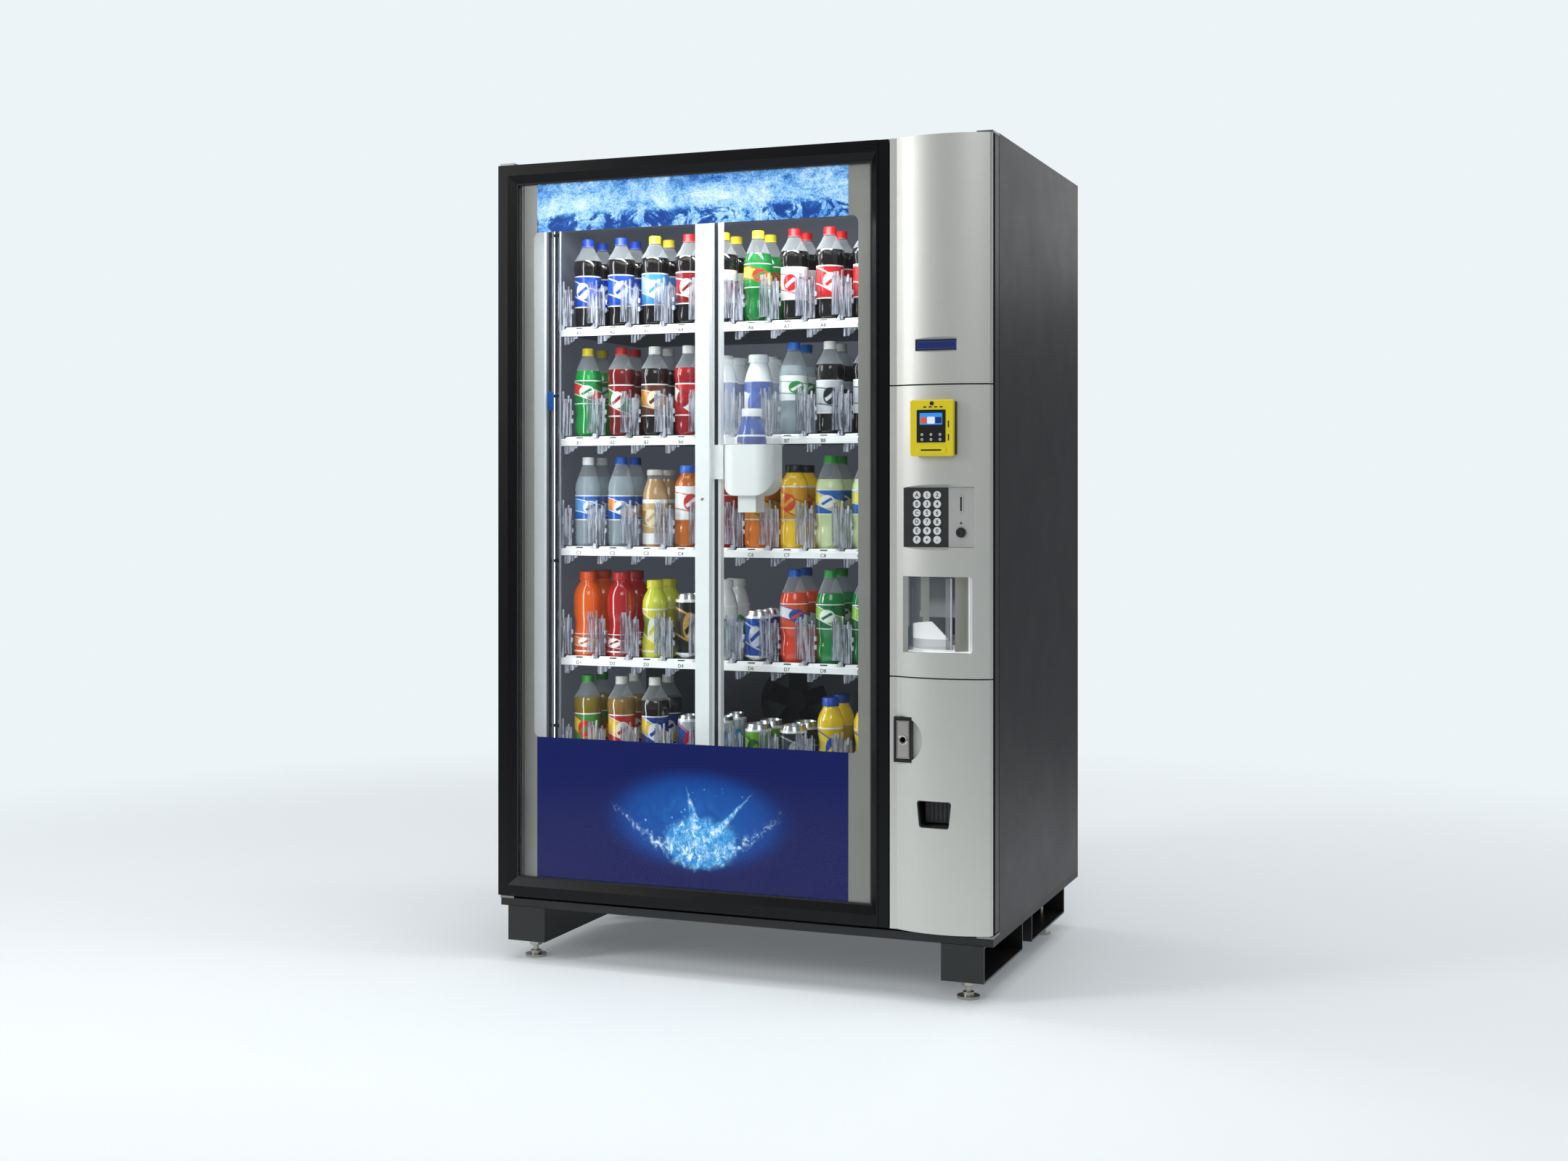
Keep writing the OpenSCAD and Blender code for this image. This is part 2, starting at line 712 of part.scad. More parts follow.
module lower_cover() color("#b4b5af")
    difference() {
        union() {
            cover_shell(door_z0, lower_seam_z - cover_seam / 2);
            intersection() {
                cover_fill(cover_x0, lock_x + lock_recess_r + 3, 1, lock_z - lock_recess_r - 3,
                           lock_z + lock_recess_r + 3);
                bore_y(lock_x - 4, lock_z, lock_recess_r + 3, -bulge - 1, 2);
            }
        }
        bore_y(lock_x - 4, lock_z, lock_recess_r, -bulge - 1, -2);
        block(lock_x - lock_w / 2 - key_clearance, lock_x + lock_w / 2 + key_clearance,
              -bulge - 1, cover_d + 1, lock_z - lock_h / 2 - key_clearance,
              lock_z + lock_h / 2 + key_clearance);
        from_front(-bulge - 2, cover_d + 1) polygon(rounded(return_points(0), 6));
    }

// Ladder-shaped steel frame that carries the covers and everything on this door
module door_pan() color("#1b1b1e")
    difference() {
        union() {
            from_above(door_z0, door_z1)
                polygon([[pan_x0 + 4, cover_d], [cover_x1 - 6, cover_d], [cover_x1 - 6, pan_step_d],
                         [cover_x1, pan_step_d], [cover_x1, door_t], [pan_x0, door_t],
                         [pan_x0, pan_step_d], [pan_x0 + 4, pan_step_d]]);
        }
        for (bay = [[door_z0 + pan_bar / 2, lower_seam_z - pan_bar / 2],
                    [lower_seam_z + pan_bar / 2, upper_seam_z - pan_bar / 2],
                    [upper_seam_z + pan_bar / 2, door_z1 - pan_bar / 2]])
            block(pan_x0 + pan_rim, cover_x1 - pan_hinge_rim, cover_d - 1, door_t + 1,
                  bay[0], bay[1]);
        for (z = [door_z0 - 1, door_z1 - pin_len - 3])
            bore_z(hinge_x, hinge_d, pin_r + run_clearance, z, z + pin_len + 4);
    }

module display_window() color("#10141f")
    block(display_x - display_w / 2 + key_clearance, display_x + display_w / 2 - key_clearance,
          display_d, display_d + 8, display_z - display_h / 2 + key_clearance,
          display_z + display_h / 2 - key_clearance);

// Head in front of the cover and a narrower body that passes through it to the pan
card_slot_w = 62;
card_slot_h = 3.5;
module card_reader() color("#efdf3f")
    difference() {
        union() {
            from_front(-proud, -bulge - 0.4)
                polygon(rounded(box_points(reader_x - reader_w / 2, reader_x + reader_w / 2,
                                           reader_z - reader_h / 2, reader_z + reader_h / 2), 8));
            block(reader_x - reader_w / 2 + 3 + key_clearance,
                  reader_x + reader_w / 2 - 3 - key_clearance, -bulge - 1, 18,
                  reader_z - reader_h / 2 + 3 + key_clearance,
                  reader_z + reader_h / 2 - 3 - key_clearance);
        }
        block(reader_x - card_slot_w / 2, reader_x + card_slot_w / 2, -proud - 1, -proud + 30,
              reader_z - reader_h / 2 + 14, reader_z - reader_h / 2 + 14 + card_slot_h);
    }

// ---- Keypad and coins ----

KEY_ROWS = 6;
function key_x(col) = key_x0 + col * key_pitch_x;
function key_z(row) = key_z0 - row * key_pitch_z;

module keypad_plate() color("#333332")
    difference() {
        block(unit_x0 + key_clearance, unit_x0 + keypad_w, unit_d, unit_d + plate_t,
              keypad_z - keypad_h / 2 + key_clearance, keypad_z + keypad_h / 2 - key_clearance);
        for (row = [0:KEY_ROWS - 1], col = [0:2])
            bore_y(key_x(col), key_z(row), key_dia / 2 + key_clearance, unit_d - 1,
                   unit_d + plate_t + 1);
    }

module key(row, col) color("#e9e9e6") {
    bore_y(key_x(col), key_z(row), key_dia / 2, unit_d - key_proud, unit_d + plate_t + 0.3 + eps);
    bore_y(key_x(col), key_z(row), key_dia / 2 + 0.8, unit_d + plate_t + 0.3,
           unit_d + plate_t + 0.3 + key_flange);
}

module coin_plate() color("#9fa19f")
    difference() {
        block(unit_x0 + keypad_w + 0.3, unit_x1 - key_clearance, unit_d - 1, unit_d + plate_t,
              keypad_z - keypad_h / 2 + key_clearance, keypad_z + keypad_h / 2 - key_clearance);
        block(knob_x - coin_slot_w / 2, knob_x + coin_slot_w / 2, unit_d - 2,
              unit_d + plate_t + 1, coin_slot_z - coin_slot_h / 2, coin_slot_z + coin_slot_h / 2);
        bore_y(knob_x, knob_z, knob_dia / 2 + key_clearance, unit_d - 2, unit_d + plate_t + 1);
    }

module coin_knob() color("#c9cbcb") {
    bore_y(knob_x, knob_z, knob_dia / 2, unit_d - 5, unit_d + plate_t + 0.3 + eps);
    bore_y(knob_x, knob_z, knob_dia / 2 + 2, unit_d + plate_t + 0.3, unit_d + plate_t + 2.3);
}

// Changer behind the keypad, with its coin tubes, held between the stiles of the pan
tubes = 5;
module coin_changer() color("#54575b") {
    x0 = pan_x0 + pan_rim;
    x1 = cover_x1 - pan_hinge_rim;
    z0 = keypad_z - keypad_h / 2 + 4;
    block(x0, x1, 30, 34, z0 - 10, reader_z + 40);
    block(x0 + 24, x1 - 18, 34 - eps, 62, z0, reader_z + 30);
    for (i = [0:tubes - 1])
        bore_z(x0 + 42 + i * 28, 76, 13, z0 + 4, z0 + 204);
    block(x0 + 28, x1 - 22, 62 - eps, 90, z0 - 8, z0 + 4 + eps);
}

// ---- Delivery port ----

// Part of an upright tube, between two angles measured from the front towards the right
module arc_wall(r_out, r_in, a0, a1, z0, z1)
    from_above(z0, z1) translate([port_x, port_d])
        intersection() {
            difference() {
                circle(r = r_out, $fn = 128);
                circle(r = r_in, $fn = 128);
            }
            polygon([[0, 0], for (i = [0:8])
                let (a = a0 + (a1 - a0) * i / 8) 2 * r_out * [sin(a), -cos(a)]]);
        }

// Floor under the turning shield, the low bowl inside it and the fixed guard on its right
bowl_r = drum_r - drum_wall - 6;
bowl_h = 57;
module delivery_bucket() color("#eef0f0") {
    from_above(bucket_z, bucket_z + bucket_t) {
        translate([port_x, port_d]) circle(r = drum_r, $fn = 128);
        translate([pan_x0 + pan_rim, cover_d + 2])
            square([cover_x1 - pan_hinge_rim - pan_x0 - pan_rim, door_t - cover_d - 2]);
    }
    bore_z(port_x, port_d, bowl_r, bucket_z + bucket_t - eps, port_z + 4);
    difference() {
        arc_wall(bowl_r, bowl_r - 4, 160, 292, port_z + 4 - eps, port_z + bowl_h);
        from_front(port_d, port_d + drum_r)
            polygon([[port_x - 49, port_z + bowl_h + 1], [port_x + drum_r, port_z + bowl_h + 1],
                     [port_x + drum_r, port_z + 4], [port_x - 4, port_z + 4]]);
    }
    arc_wall(drum_r + 5, drum_r + 1.5, 52, 150, bucket_z, port_z + port_h + 4);
}

// Clear shield that turns about an upright axis, between two rings
module port_drum() color("#d5e2e8", 0.45) {
    z0 = port_z + 0.5;
    z1 = port_z + port_h - 1;
    for (z = [z0, z1 - ring_h]) arc_wall(drum_r, drum_r - drum_wall, 0, 360, z, z + ring_h);
    arc_wall(drum_r, drum_r - drum_wall, port_lead - port_span, port_lead, z0 + ring_h - eps,
             z1 - ring_h + eps);
}

// ---- Lock ----

handle_w = lock_w - 12;
handle_h = lock_h - 16;
pocket_gap = 1.5;
shaft_r = 10;
barrel_r = 7;
module lock_surround() color("#141416")
    difference() {
        block(lock_x - lock_w / 2, lock_x + lock_w / 2, lock_d0, lock_d1,
              lock_z - lock_h / 2, lock_z + lock_h / 2);
        block(lock_x - handle_w / 2 - pocket_gap, lock_x + handle_w / 2 + pocket_gap,
              lock_d0 - 1, 8, lock_z - handle_h / 2 - pocket_gap, lock_z + handle_h / 2 + pocket_gap);
        bore_y(lock_x, lock_z, shaft_r + run_clearance, 7, lock_d1 + 1);
    }

module lock_handle() color("#c7c5c0")
    difference() {
        union() {
            block(lock_x - handle_w / 2, lock_x + handle_w / 2, lock_d0 + 1, 3,
                  lock_z - handle_h / 2, lock_z + handle_h / 2);
            bore_y(lock_x, lock_z, shaft_r, 3 - eps, 44);
        }
        bore_y(lock_x, lock_z, barrel_r + run_clearance, lock_d0 - 1, 2.5);
    }

module lock_barrel() color("#b5b3ad")
    difference() {
        bore_y(lock_x, lock_z, barrel_r, lock_d0 + 0.5, 2);
        bore_y(lock_x, lock_z, 2.6, lock_d0 - 1, -3);
    }

// ---- Coin return ----

module return_cup() color("#18191c")
    difference() {
        from_front(return_d0, return_d1) polygon(rounded(return_points(0.4), 6));
        from_front(return_d0 - 1, return_d1 - 3) polygon(rounded(return_points(2.9), 5));
        bore_z(return_x, return_d1 - 18, 13, return_z + return_h - 8, return_z + return_h + 2);
    }

module return_flap() color("#3a3d42") {
    x = return_w / 2 - return_taper - 5;
    block(return_x - x, return_x + x, flap_d - flap_t / 2, flap_d + flap_t / 2,
          return_z + 7, flap_z);
    translate([return_x - x, face_y + flap_d, flap_z]) rotate([0, 90, 0])
        cylinder(r = flap_pin_r, h = 2 * x);
}

// ---- Gantry and cup ----

module gantry_rails() color("#9a9ea2")
    for (z = [low_track_z, high_track_z])
        block(-wall_in, divider_x0, track_d, track_d + track_t, z, z + track_h);

module track_truck(z)
    difference() {
        block(column_x0, guide_x1, guide_d + guide_t - eps, track_d + track_t + truck_wall,
              z - 7 - slide_clearance, z - 7 - slide_clearance + truck_h);
        block(column_x0 - 1, guide_x1 + 1, track_d - slide_clearance,
              track_d + track_t + slide_clearance, z - slide_clearance,
              z + track_h + slide_clearance);
    }

module gantry_column() color("#eceeee") {
    z0 = low_track_z - 7 - slide_clearance;
    z1 = high_track_z + track_h + 7 + slide_clearance;
    block(column_x0, guide_x0 + eps, aisle_d, guide_d + guide_t, z0, z1);
    block(guide_x0, guide_x1, guide_d, guide_d + guide_t, z0, z1);
    track_truck(low_track_z);
    track_truck(high_track_z);
}

// Outline of the cup from above: open at the back, round at the front corners
module cup_outline(inset) {
    x0 = cup_x0 + inset;
    x1 = cup_x + cup_w / 2 - inset;
    r = 34 - inset;
    d0 = aisle_d + inset;
    d1 = cup_d1 + (inset > 0 ? 1 : 0);
    translate([x0 + r, d0 + r]) circle(r = r);
    translate([x1 - r, d0 + r]) circle(r = r);
    translate([x0 + r, d0]) square([x1 - x0 - 2 * r, r + 1]);
    translate([x0, d0 + r]) square([x1 - x0, d1 - d0 - r]);
}

// The cup seen from above, with its bottom corners rounded as seen from the front
cup_corner_r = 38;
module cup_body(inset, top) {
    r = cup_corner_r - inset;
    x0 = cup_x0 + inset;
    w = cup_w - 2 * inset;
    z0 = cup_z + inset;
    intersection() {
        from_above(z0, top) cup_outline(inset);
        from_front(aisle_d - 1, cup_d1 + 2) {
            for (x = [x0 + r, x0 + w - r]) translate([x, z0 + r]) circle(r = r);
            translate([x0 + r, z0]) square([w - 2 * r, r]);
            translate([x0, z0 + r]) square([w, top - z0]);
        }
    }
}

// White cup, the shoe that slides on the guide bar and the motor under it
module cup_carriage() color("#f3f4f3") {
    difference() {
        cup_body(0, cup_z + cup_h);
        cup_body(cup_wall, cup_z + cup_h + 1);
    }
    difference() {
        block(guide_x0 + 1, cup_x0 + 2, guide_d - 8, guide_d + guide_t + 8,
              cup_z + cup_corner_r, cup_z + cup_h);
        block(guide_x0, guide_x1 + slide_clearance, guide_d - slide_clearance,
              guide_d + guide_t + slide_clearance, cup_z, cup_z + cup_h + 1);
    }
    block(cup_x - 22, cup_x + 22, aisle_d + 16, cup_d1 - 14, cup_z - 38, cup_z + 2);
}

module cup_shield() color("#dde8ec", 0.4)
    difference() {
        from_above(cup_z + cup_h, cup_z + cup_h + shield_h) cup_outline(0);
        from_above(cup_z + cup_h - 1, cup_z + cup_h + shield_h + 1) cup_outline(2.5);
    }

side_walls();
roof_wall();
rear_wall();
insulated_floor();
compartment_divider();
base_frame();
legs();
levelling_feet();
shelf_trays();
price_rails();
dispensing_gates();
gantry_rails();
light_bars();
cooling_unit();
evaporator_housing();
hinge_brackets();
stock();
evaporator_fan();
door_frame();
glass_panes();
glass_graphics();
door_gasket();
door_pan();
upper_cover();
middle_cover();
lower_cover();
display_window();
card_reader();
keypad_plate();
coin_plate();
lock_surround();
return_cup();
coin_changer();
delivery_bucket();
coin_knob();
port_drum();
lock_barrel();
lock_handle();
return_flap();
gantry_column();
cup_carriage();
cup_shield();
key(0, 0);  // key_a
key(0, 1);  // key_1
key(0, 2);  // key_2
key(1, 0);  // key_b
key(1, 1);  // key_3
key(1, 2);  // key_4
key(2, 0);  // key_c
key(2, 1);  // key_5
key(2, 2);  // key_6
key(3, 0);  // key_d
key(3, 1);  // key_7
key(3, 2);  // key_8
key(4, 0);  // key_e
key(4, 1);  // key_9
key(4, 2);  // key_0
key(5, 0);  // key_f
key(5, 1);  // key_star
key(5, 2);  // key_dash
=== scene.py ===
"""Looks of a glass-front drinks vending machine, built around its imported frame.

Lengths are millimetres until a mesh is made: x to the right, d back from the door
faces and z up from the ground. Object coordinates in the shaders are metres.
"""

import sys
import logging
import math
import random
from dataclasses import dataclass
from enum import Enum
from functools import cache
from typing import Callable, Optional, Sequence, Union

import bmesh
import bpy
from mathutils import Matrix, Vector


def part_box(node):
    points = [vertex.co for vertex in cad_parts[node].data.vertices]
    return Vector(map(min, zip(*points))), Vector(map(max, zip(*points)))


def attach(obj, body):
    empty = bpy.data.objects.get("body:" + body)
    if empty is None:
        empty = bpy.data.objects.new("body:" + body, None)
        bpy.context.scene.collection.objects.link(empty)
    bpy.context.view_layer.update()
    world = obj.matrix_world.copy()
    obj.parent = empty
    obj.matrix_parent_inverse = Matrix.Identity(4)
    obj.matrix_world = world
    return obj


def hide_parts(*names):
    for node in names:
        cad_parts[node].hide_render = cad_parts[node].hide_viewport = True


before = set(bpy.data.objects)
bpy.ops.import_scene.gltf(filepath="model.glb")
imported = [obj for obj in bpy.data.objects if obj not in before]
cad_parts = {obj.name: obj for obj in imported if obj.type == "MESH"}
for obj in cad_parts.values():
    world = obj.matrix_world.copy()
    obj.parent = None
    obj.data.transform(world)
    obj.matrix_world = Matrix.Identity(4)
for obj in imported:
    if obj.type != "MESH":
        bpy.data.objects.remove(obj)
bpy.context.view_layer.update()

LOG = logging.getLogger("vending_machine")

MM = 0.001
DOOR_FACE_D = 396.0
LANES = 9
LANE_START = -531.0
LANE_PITCH = 90.0
SHELF_TOPS = (1492.0, 1226.0, 960.0, 694.0, 428.0)
SHELF_LETTERS = "ABCDE"
ROW_DEPTHS = (246.5, 325.5)

NodeTree = bpy.types.NodeTree
Point2 = tuple[float, float]
Point3 = tuple[float, float, float]
Colour = tuple[float, float, float, float]


def at(x: float, d: float, z: float) -> Vector:
    """Returns a point of the row frame, in metres."""
    return Vector((x * MM, (d - DOOR_FACE_D) * MM, z * MM))


def lane_x(lane: float) -> float:
    """Returns where a lane starts in x, or its middle when half a lane is added."""
    return LANE_START + LANE_PITCH * lane


def rgb(code: str) -> Colour:
    """Returns the linear colour of a six-digit sRGB code, with alpha 1."""
    parts = [int(code[i:i + 2], 16) / 255 for i in (0, 2, 4)]
    red, green, blue = (p / 12.92 if p <= 0.04045 else ((p + 0.055) / 1.055) ** 2.4 for p in parts)
    return (red, green, blue, 1.0)


@dataclass(frozen=True)
class Extent:
    """The box of a node at rest, in millimetres."""

    x0: float
    x1: float
    d0: float
    d1: float
    z0: float
    z1: float

    @classmethod
    def of(cls, node: str) -> "Extent":
        """Returns the box of the named CAD node."""
        low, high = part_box(node)
        x0, y0, z0 = (value / MM for value in low)
        x1, y1, z1 = (value / MM for value in high)
        return cls(x0, x1, y0 + DOOR_FACE_D, y1 + DOOR_FACE_D, z0, z1)

    @property
    def mid_x(self) -> float:
        """Returns the middle in x."""
        return (self.x0 + self.x1) / 2

    @property
    def mid_z(self) -> float:
        """Returns the middle in z."""
        return (self.z0 + self.z1) / 2


# ---- node tools

class Wire:
    """One output of a node tree, with arithmetic that adds Math nodes."""

    def __init__(self, tree: NodeTree, socket: bpy.types.NodeSocket) -> None:
        """Keeps the tree and the socket."""
        self.tree = tree
        self.socket = socket

    def math(self, operation: str, *others: Union[float, "Wire"]) -> "Wire":
        """Adds a Math node.

        Args:
            operation: the node's operation.
            others: the values after this one.

        Returns:
            The result.
        """
        node = self.tree.nodes.new("ShaderNodeMath")
        node.operation = operation
        for index, value in enumerate((self, *others)):
            plug(self.tree, node.inputs[index], value)
        return Wire(self.tree, node.outputs[0])

    def __add__(self, other: Union[float, "Wire"]) -> "Wire":
        """Returns the sum."""
        return self.math("ADD", other)

    def __sub__(self, other: Union[float, "Wire"]) -> "Wire":
        """Returns the difference."""
        return self.math("SUBTRACT", other)

    def __mul__(self, other: Union[float, "Wire"]) -> "Wire":
        """Returns the product."""
        return self.math("MULTIPLY", other)

    def size(self) -> "Wire":
        """Returns the absolute value."""
        return self.math("ABSOLUTE")

    def hypot(self, other: "Wire") -> "Wire":
        """Returns the length of a vector with these two parts."""
        return ((self * self) + (other * other)).math("SQRT")

    def inside(self, middle: float, width: float) -> "Wire":
        """Returns how far this lies inside a span, from the span's middle and width in millimetres."""
        return ((self - middle * MM).size() * -1.0) + width / 2 * MM

    def ramp(self, low: float, high: float, start: float = 0.0, end: float = 1.0) -> "Wire":
        """Eases from start to end while this goes from low to high.

        Args:
            low: value at the start of the ramp.
            high: value at its end; it may be below low.
            start: result at low.
            end: result at high.

        Returns:
            The eased value.
        """
        if high < low:
            low, high, start, end = high, low, end, start
        node = self.tree.nodes.new("ShaderNodeMapRange")
        node.interpolation_type = "SMOOTHSTEP"
        for index, value in enumerate((self, low, high, start, end)):
            plug(self.tree, node.inputs[index], value)
        return Wire(self.tree, node.outputs[0])


Value = Union[float, Point3, Colour, Wire]


def plug(tree: NodeTree, socket: bpy.types.NodeSocket, value: Value) -> None:
    """Links a wire to a socket, or sets its value.

    Args:
        tree: the node tree.
        socket: an input socket.
        value: a wire, number, vector or colour.
    """
    if isinstance(value, Wire):
        tree.links.new(value.socket, socket)
    else:
        socket.default_value = value


class Bench:
    """Short calls that add nodes to one tree."""

    def __init__(self, tree: NodeTree) -> None:
        """Keeps the tree."""
        self.tree = tree

    def node(self, kind: str, inputs: Optional[dict] = None, **settings: object) -> bpy.types.Node:
        """Adds a node.

        Args:
            kind: node type without its ShaderNode prefix.
            inputs: values or wires by input name or index.
            settings: attributes of the node.

        Returns:
            The node.
        """
        made = self.tree.nodes.new("ShaderNode" + kind)
        for name, value in settings.items():
            setattr(made, name, value)
        for name, value in (inputs or {}).items():
            plug(self.tree, made.inputs[name], value)
        return made

    def out(self, node: bpy.types.Node, output: Union[int, str] = 0) -> Wire:
        """Returns an output of a node."""
        return Wire(self.tree, node.outputs[output])

    def spot(self) -> Wire:
        """Returns the object coordinates."""
        return self.out(self.node("TexCoord"), "Object")

    def noise(self, vector: Wire, scale: Value, detail: float = 4.0, rough: float = 0.5,
              twist: float = 0.0) -> Wire:
        """Adds a noise.

        Args:
            vector: where it is read.
            scale: features to the metre.
            detail: octaves.
            rough: weight of the finer octaves.
            twist: distortion.

        Returns:
            A value about 0.5.
        """
        return self.out(self.node("TexNoise", {"Vector": vector, "Scale": scale, "Detail": detail,
                                               "Roughness": rough, "Distortion": twist}))

    def cells(self, vector: Wire, scale: Value, feature: str = "F1") -> Wire:
        """Returns the distance in a field of cells."""
        return self.out(self.node("TexVoronoi", {"Vector": vector, "Scale": scale}, feature=feature))

    def mix(self, factor: Union[float, Wire], first: Value, second: Value, blend: str = "MIX") -> Wire:
        """Mixes two colours.

        Args:
            factor: share of the second.
            first: colour at 0.
            second: colour at 1.
            blend: the way they mix.

        Returns:
            The mixed colour.
        """
        node = self.node("Mix", {0: factor, 6: first, 7: second}, data_type="RGBA", blend_type=blend)
        return self.out(node, 2)

    def parts(self, vector: Wire) -> tuple[Wire, Wire, Wire]:
        """Returns x, y and z of a vector."""
        node = self.node("SeparateXYZ", {0: vector})
        return self.out(node, 0), self.out(node, 1), self.out(node, 2)

    def joined(self, x: Value, y: Value, z: Value) -> Wire:
        """Returns a vector from its parts."""
        return self.out(self.node("CombineXYZ", {0: x, 1: y, 2: z}))

    def scaled(self, vector: Wire, factors: Value) -> Wire:
        """Returns the vector times the factors, part by part."""
        return self.out(self.node("VectorMath", {0: vector, 1: factors}, operation="MULTIPLY"))

    def place(self, group: NodeTree, **inputs: Value) -> bpy.types.Node:
        """Returns the node of a shared group, with these inputs."""
        made = self.tree.nodes.new("ShaderNodeGroup")
        made.node_tree = group
        for name, value in inputs.items():
            plug(self.tree, made.inputs[name], value)
        return made


SOCKET_KINDS = {1: "NodeSocketFloat", 3: "NodeSocketVector", 4: "NodeSocketColor"}


class GroupSketch(Bench):
    """A shader group while it is drawn."""

    def __init__(self, name: str, inputs: dict, outputs: dict) -> None:
        """Makes the group's sockets.

        Args:
            name: the group's name.
            inputs: default value by input name.
            outputs: number of parts by output name.
        """
        super().__init__(bpy.data.node_groups.new(name, "ShaderNodeTree"))
        for label, value in inputs.items():
            parts = 1 if isinstance(value, float) else len(value)
            socket = self.tree.interface.new_socket(
                name=label, in_out="INPUT", socket_type=SOCKET_KINDS[parts])
            socket.default_value = value
        for label, parts in outputs.items():
            self.tree.interface.new_socket(name=label, in_out="OUTPUT", socket_type=SOCKET_KINDS[parts])
        self.entry = self.tree.nodes.new("NodeGroupInput")
        self.exit = self.tree.nodes.new("NodeGroupOutput")

    def given(self, name: str) -> Wire:
        """Returns an input of the group."""
        return self.out(self.entry, name)

    def give(self, **results: Wire) -> NodeTree:
        """Sets the outputs and returns the group."""
        for name, wire in results.items():
            plug(self.tree, self.exit.inputs[name], wire)
        return self.tree


# ---- shared effects

@cache
def shade_drift() -> NodeTree:
    """Returns the group that lets a colour wander a little in brightness."""
    g = GroupSketch("shade_drift", {"Vector": (0.0, 0.0, 0.0), "Color": (0.5, 0.5, 0.5, 1.0),
                                    "Scale": 3.0, "Amount": 0.1}, {"Color": 4})
    broad = g.noise(g.given("Vector"), g.given("Scale"), 3.0, 0.6)
    fine = g.noise(g.given("Vector"), g.given("Scale") * 17.0, 2.0, 0.5)
    value = ((broad * 0.7) + (fine * 0.3) - 0.5) * (g.given("Amount") * 2.0) + 1.0
    toned = g.node("HueSaturation", {"Value": value, "Color": g.given("Color")})
    return g.give(Color=g.out(toned))


@cache
def powder_coat() -> NodeTree:
    """Returns the group for the fine pebbled skin of a powder coat."""
    g = GroupSketch("powder_coat", {"Vector": (0.0, 0.0, 0.0), "Scale": 600.0}, {"Height": 1, "Mask": 1})
    pebbles = g.cells(g.given("Vector"), g.given("Scale"), "SMOOTH_F1")
    waves = g.noise(g.given("Vector"), g.given("Scale") * 0.12, 3.0, 0.55)
    return g.give(Height=(pebbles * 0.5) + (waves * 0.6), Mask=g.noise(g.given("Vector"), 9.0, 6.0, 0.62))


@cache
def moulded_skin() -> NodeTree:
    """Returns the group for the fine spark-eroded skin of moulded plastic."""
    g = GroupSketch("moulded_skin", {"Vector": (0.0, 0.0, 0.0), "Scale": 900.0}, {"Height": 1, "Mask": 1})
    skin = g.noise(g.given("Vector"), g.given("Scale"), 5.0, 0.6)
    sink = g.noise(g.given("Vector"), 22.0, 2.0, 0.5)
    return g.give(Height=skin + (sink * 0.8), Mask=g.noise(g.given("Vector"), 30.0, 4.0, 0.6))


@cache
def brushed_lines() -> NodeTree:
    """Returns the group for the fine parallel lines of brushed or drawn metal."""
    g = GroupSketch("brushed_lines", {"Vector": (0.0, 0.0, 0.0), "Stretch": (900.0, 900.0, 6.0)},
                    {"Height": 1, "Mask": 1})
    along = g.scaled(g.given("Vector"), g.given("Stretch"))
    lines = g.noise(along, 1.0, 4.0, 0.65)
    broad = g.noise(g.scaled(along, (0.12, 0.12, 0.5)), 1.0, 2.0, 0.5)
    return g.give(Height=lines, Mask=(lines * 0.5) + (broad * 0.5))


@cache
def edge_wear() -> NodeTree:
    """Returns the group for the broken rub along outer edges."""
    g = GroupSketch("edge_wear", {"Vector": (0.0, 0.0, 0.0), "Radius": 0.002, "Scale": 60.0,
                                  "Amount": 0.5}, {"Mask": 1})
    eased = g.out(g.node("Bevel", {"Radius": g.given("Radius")}, samples=4))
    plain = g.out(g.node("NewGeometry"), "Normal")
    dot = g.out(g.node("VectorMath", {0: eased, 1: plain}, operation="DOT_PRODUCT"), "Value")
    edge = dot.ramp(0.995, 0.86)
    broken = g.noise(g.given("Vector"), g.given("Scale"), 6.0, 0.7).ramp(0.42, 0.62)
    return g.give(Mask=(edge * broken) * g.given("Amount"))


@cache
def settled_dust() -> NodeTree:
    """Returns the group for thin dust that lies on faces that look up."""
    g = GroupSketch("settled_dust", {"Vector": (0.0, 0.0, 0.0), "Scale": 14.0, "Amount": 0.3}, {"Mask": 1})
    up = g.parts(g.out(g.node("NewGeometry"), "Normal"))[2].ramp(0.35, 0.95)
    patchy = g.noise(g.given("Vector"), g.given("Scale"), 7.0, 0.68).ramp(0.3, 0.75)
    return g.give(Mask=(up * patchy) * g.given("Amount"))


@cache
def hand_smudges() -> NodeTree:
    """Returns the group for faint wiped patches that change only the gloss."""
    g = GroupSketch("hand_smudges", {"Vector": (0.0, 0.0, 0.0), "Scale": 8.0}, {"Mask": 1})
    patch = g.noise(g.given("Vector"), g.given("Scale"), 5.0, 0.7, 1.2).ramp(0.45, 0.72)
    wiped = g.noise(g.scaled(g.given("Vector"), (3.0, 3.0, 22.0)), g.given("Scale"), 3.0, 0.6)
    return g.give(Mask=patch * wiped)


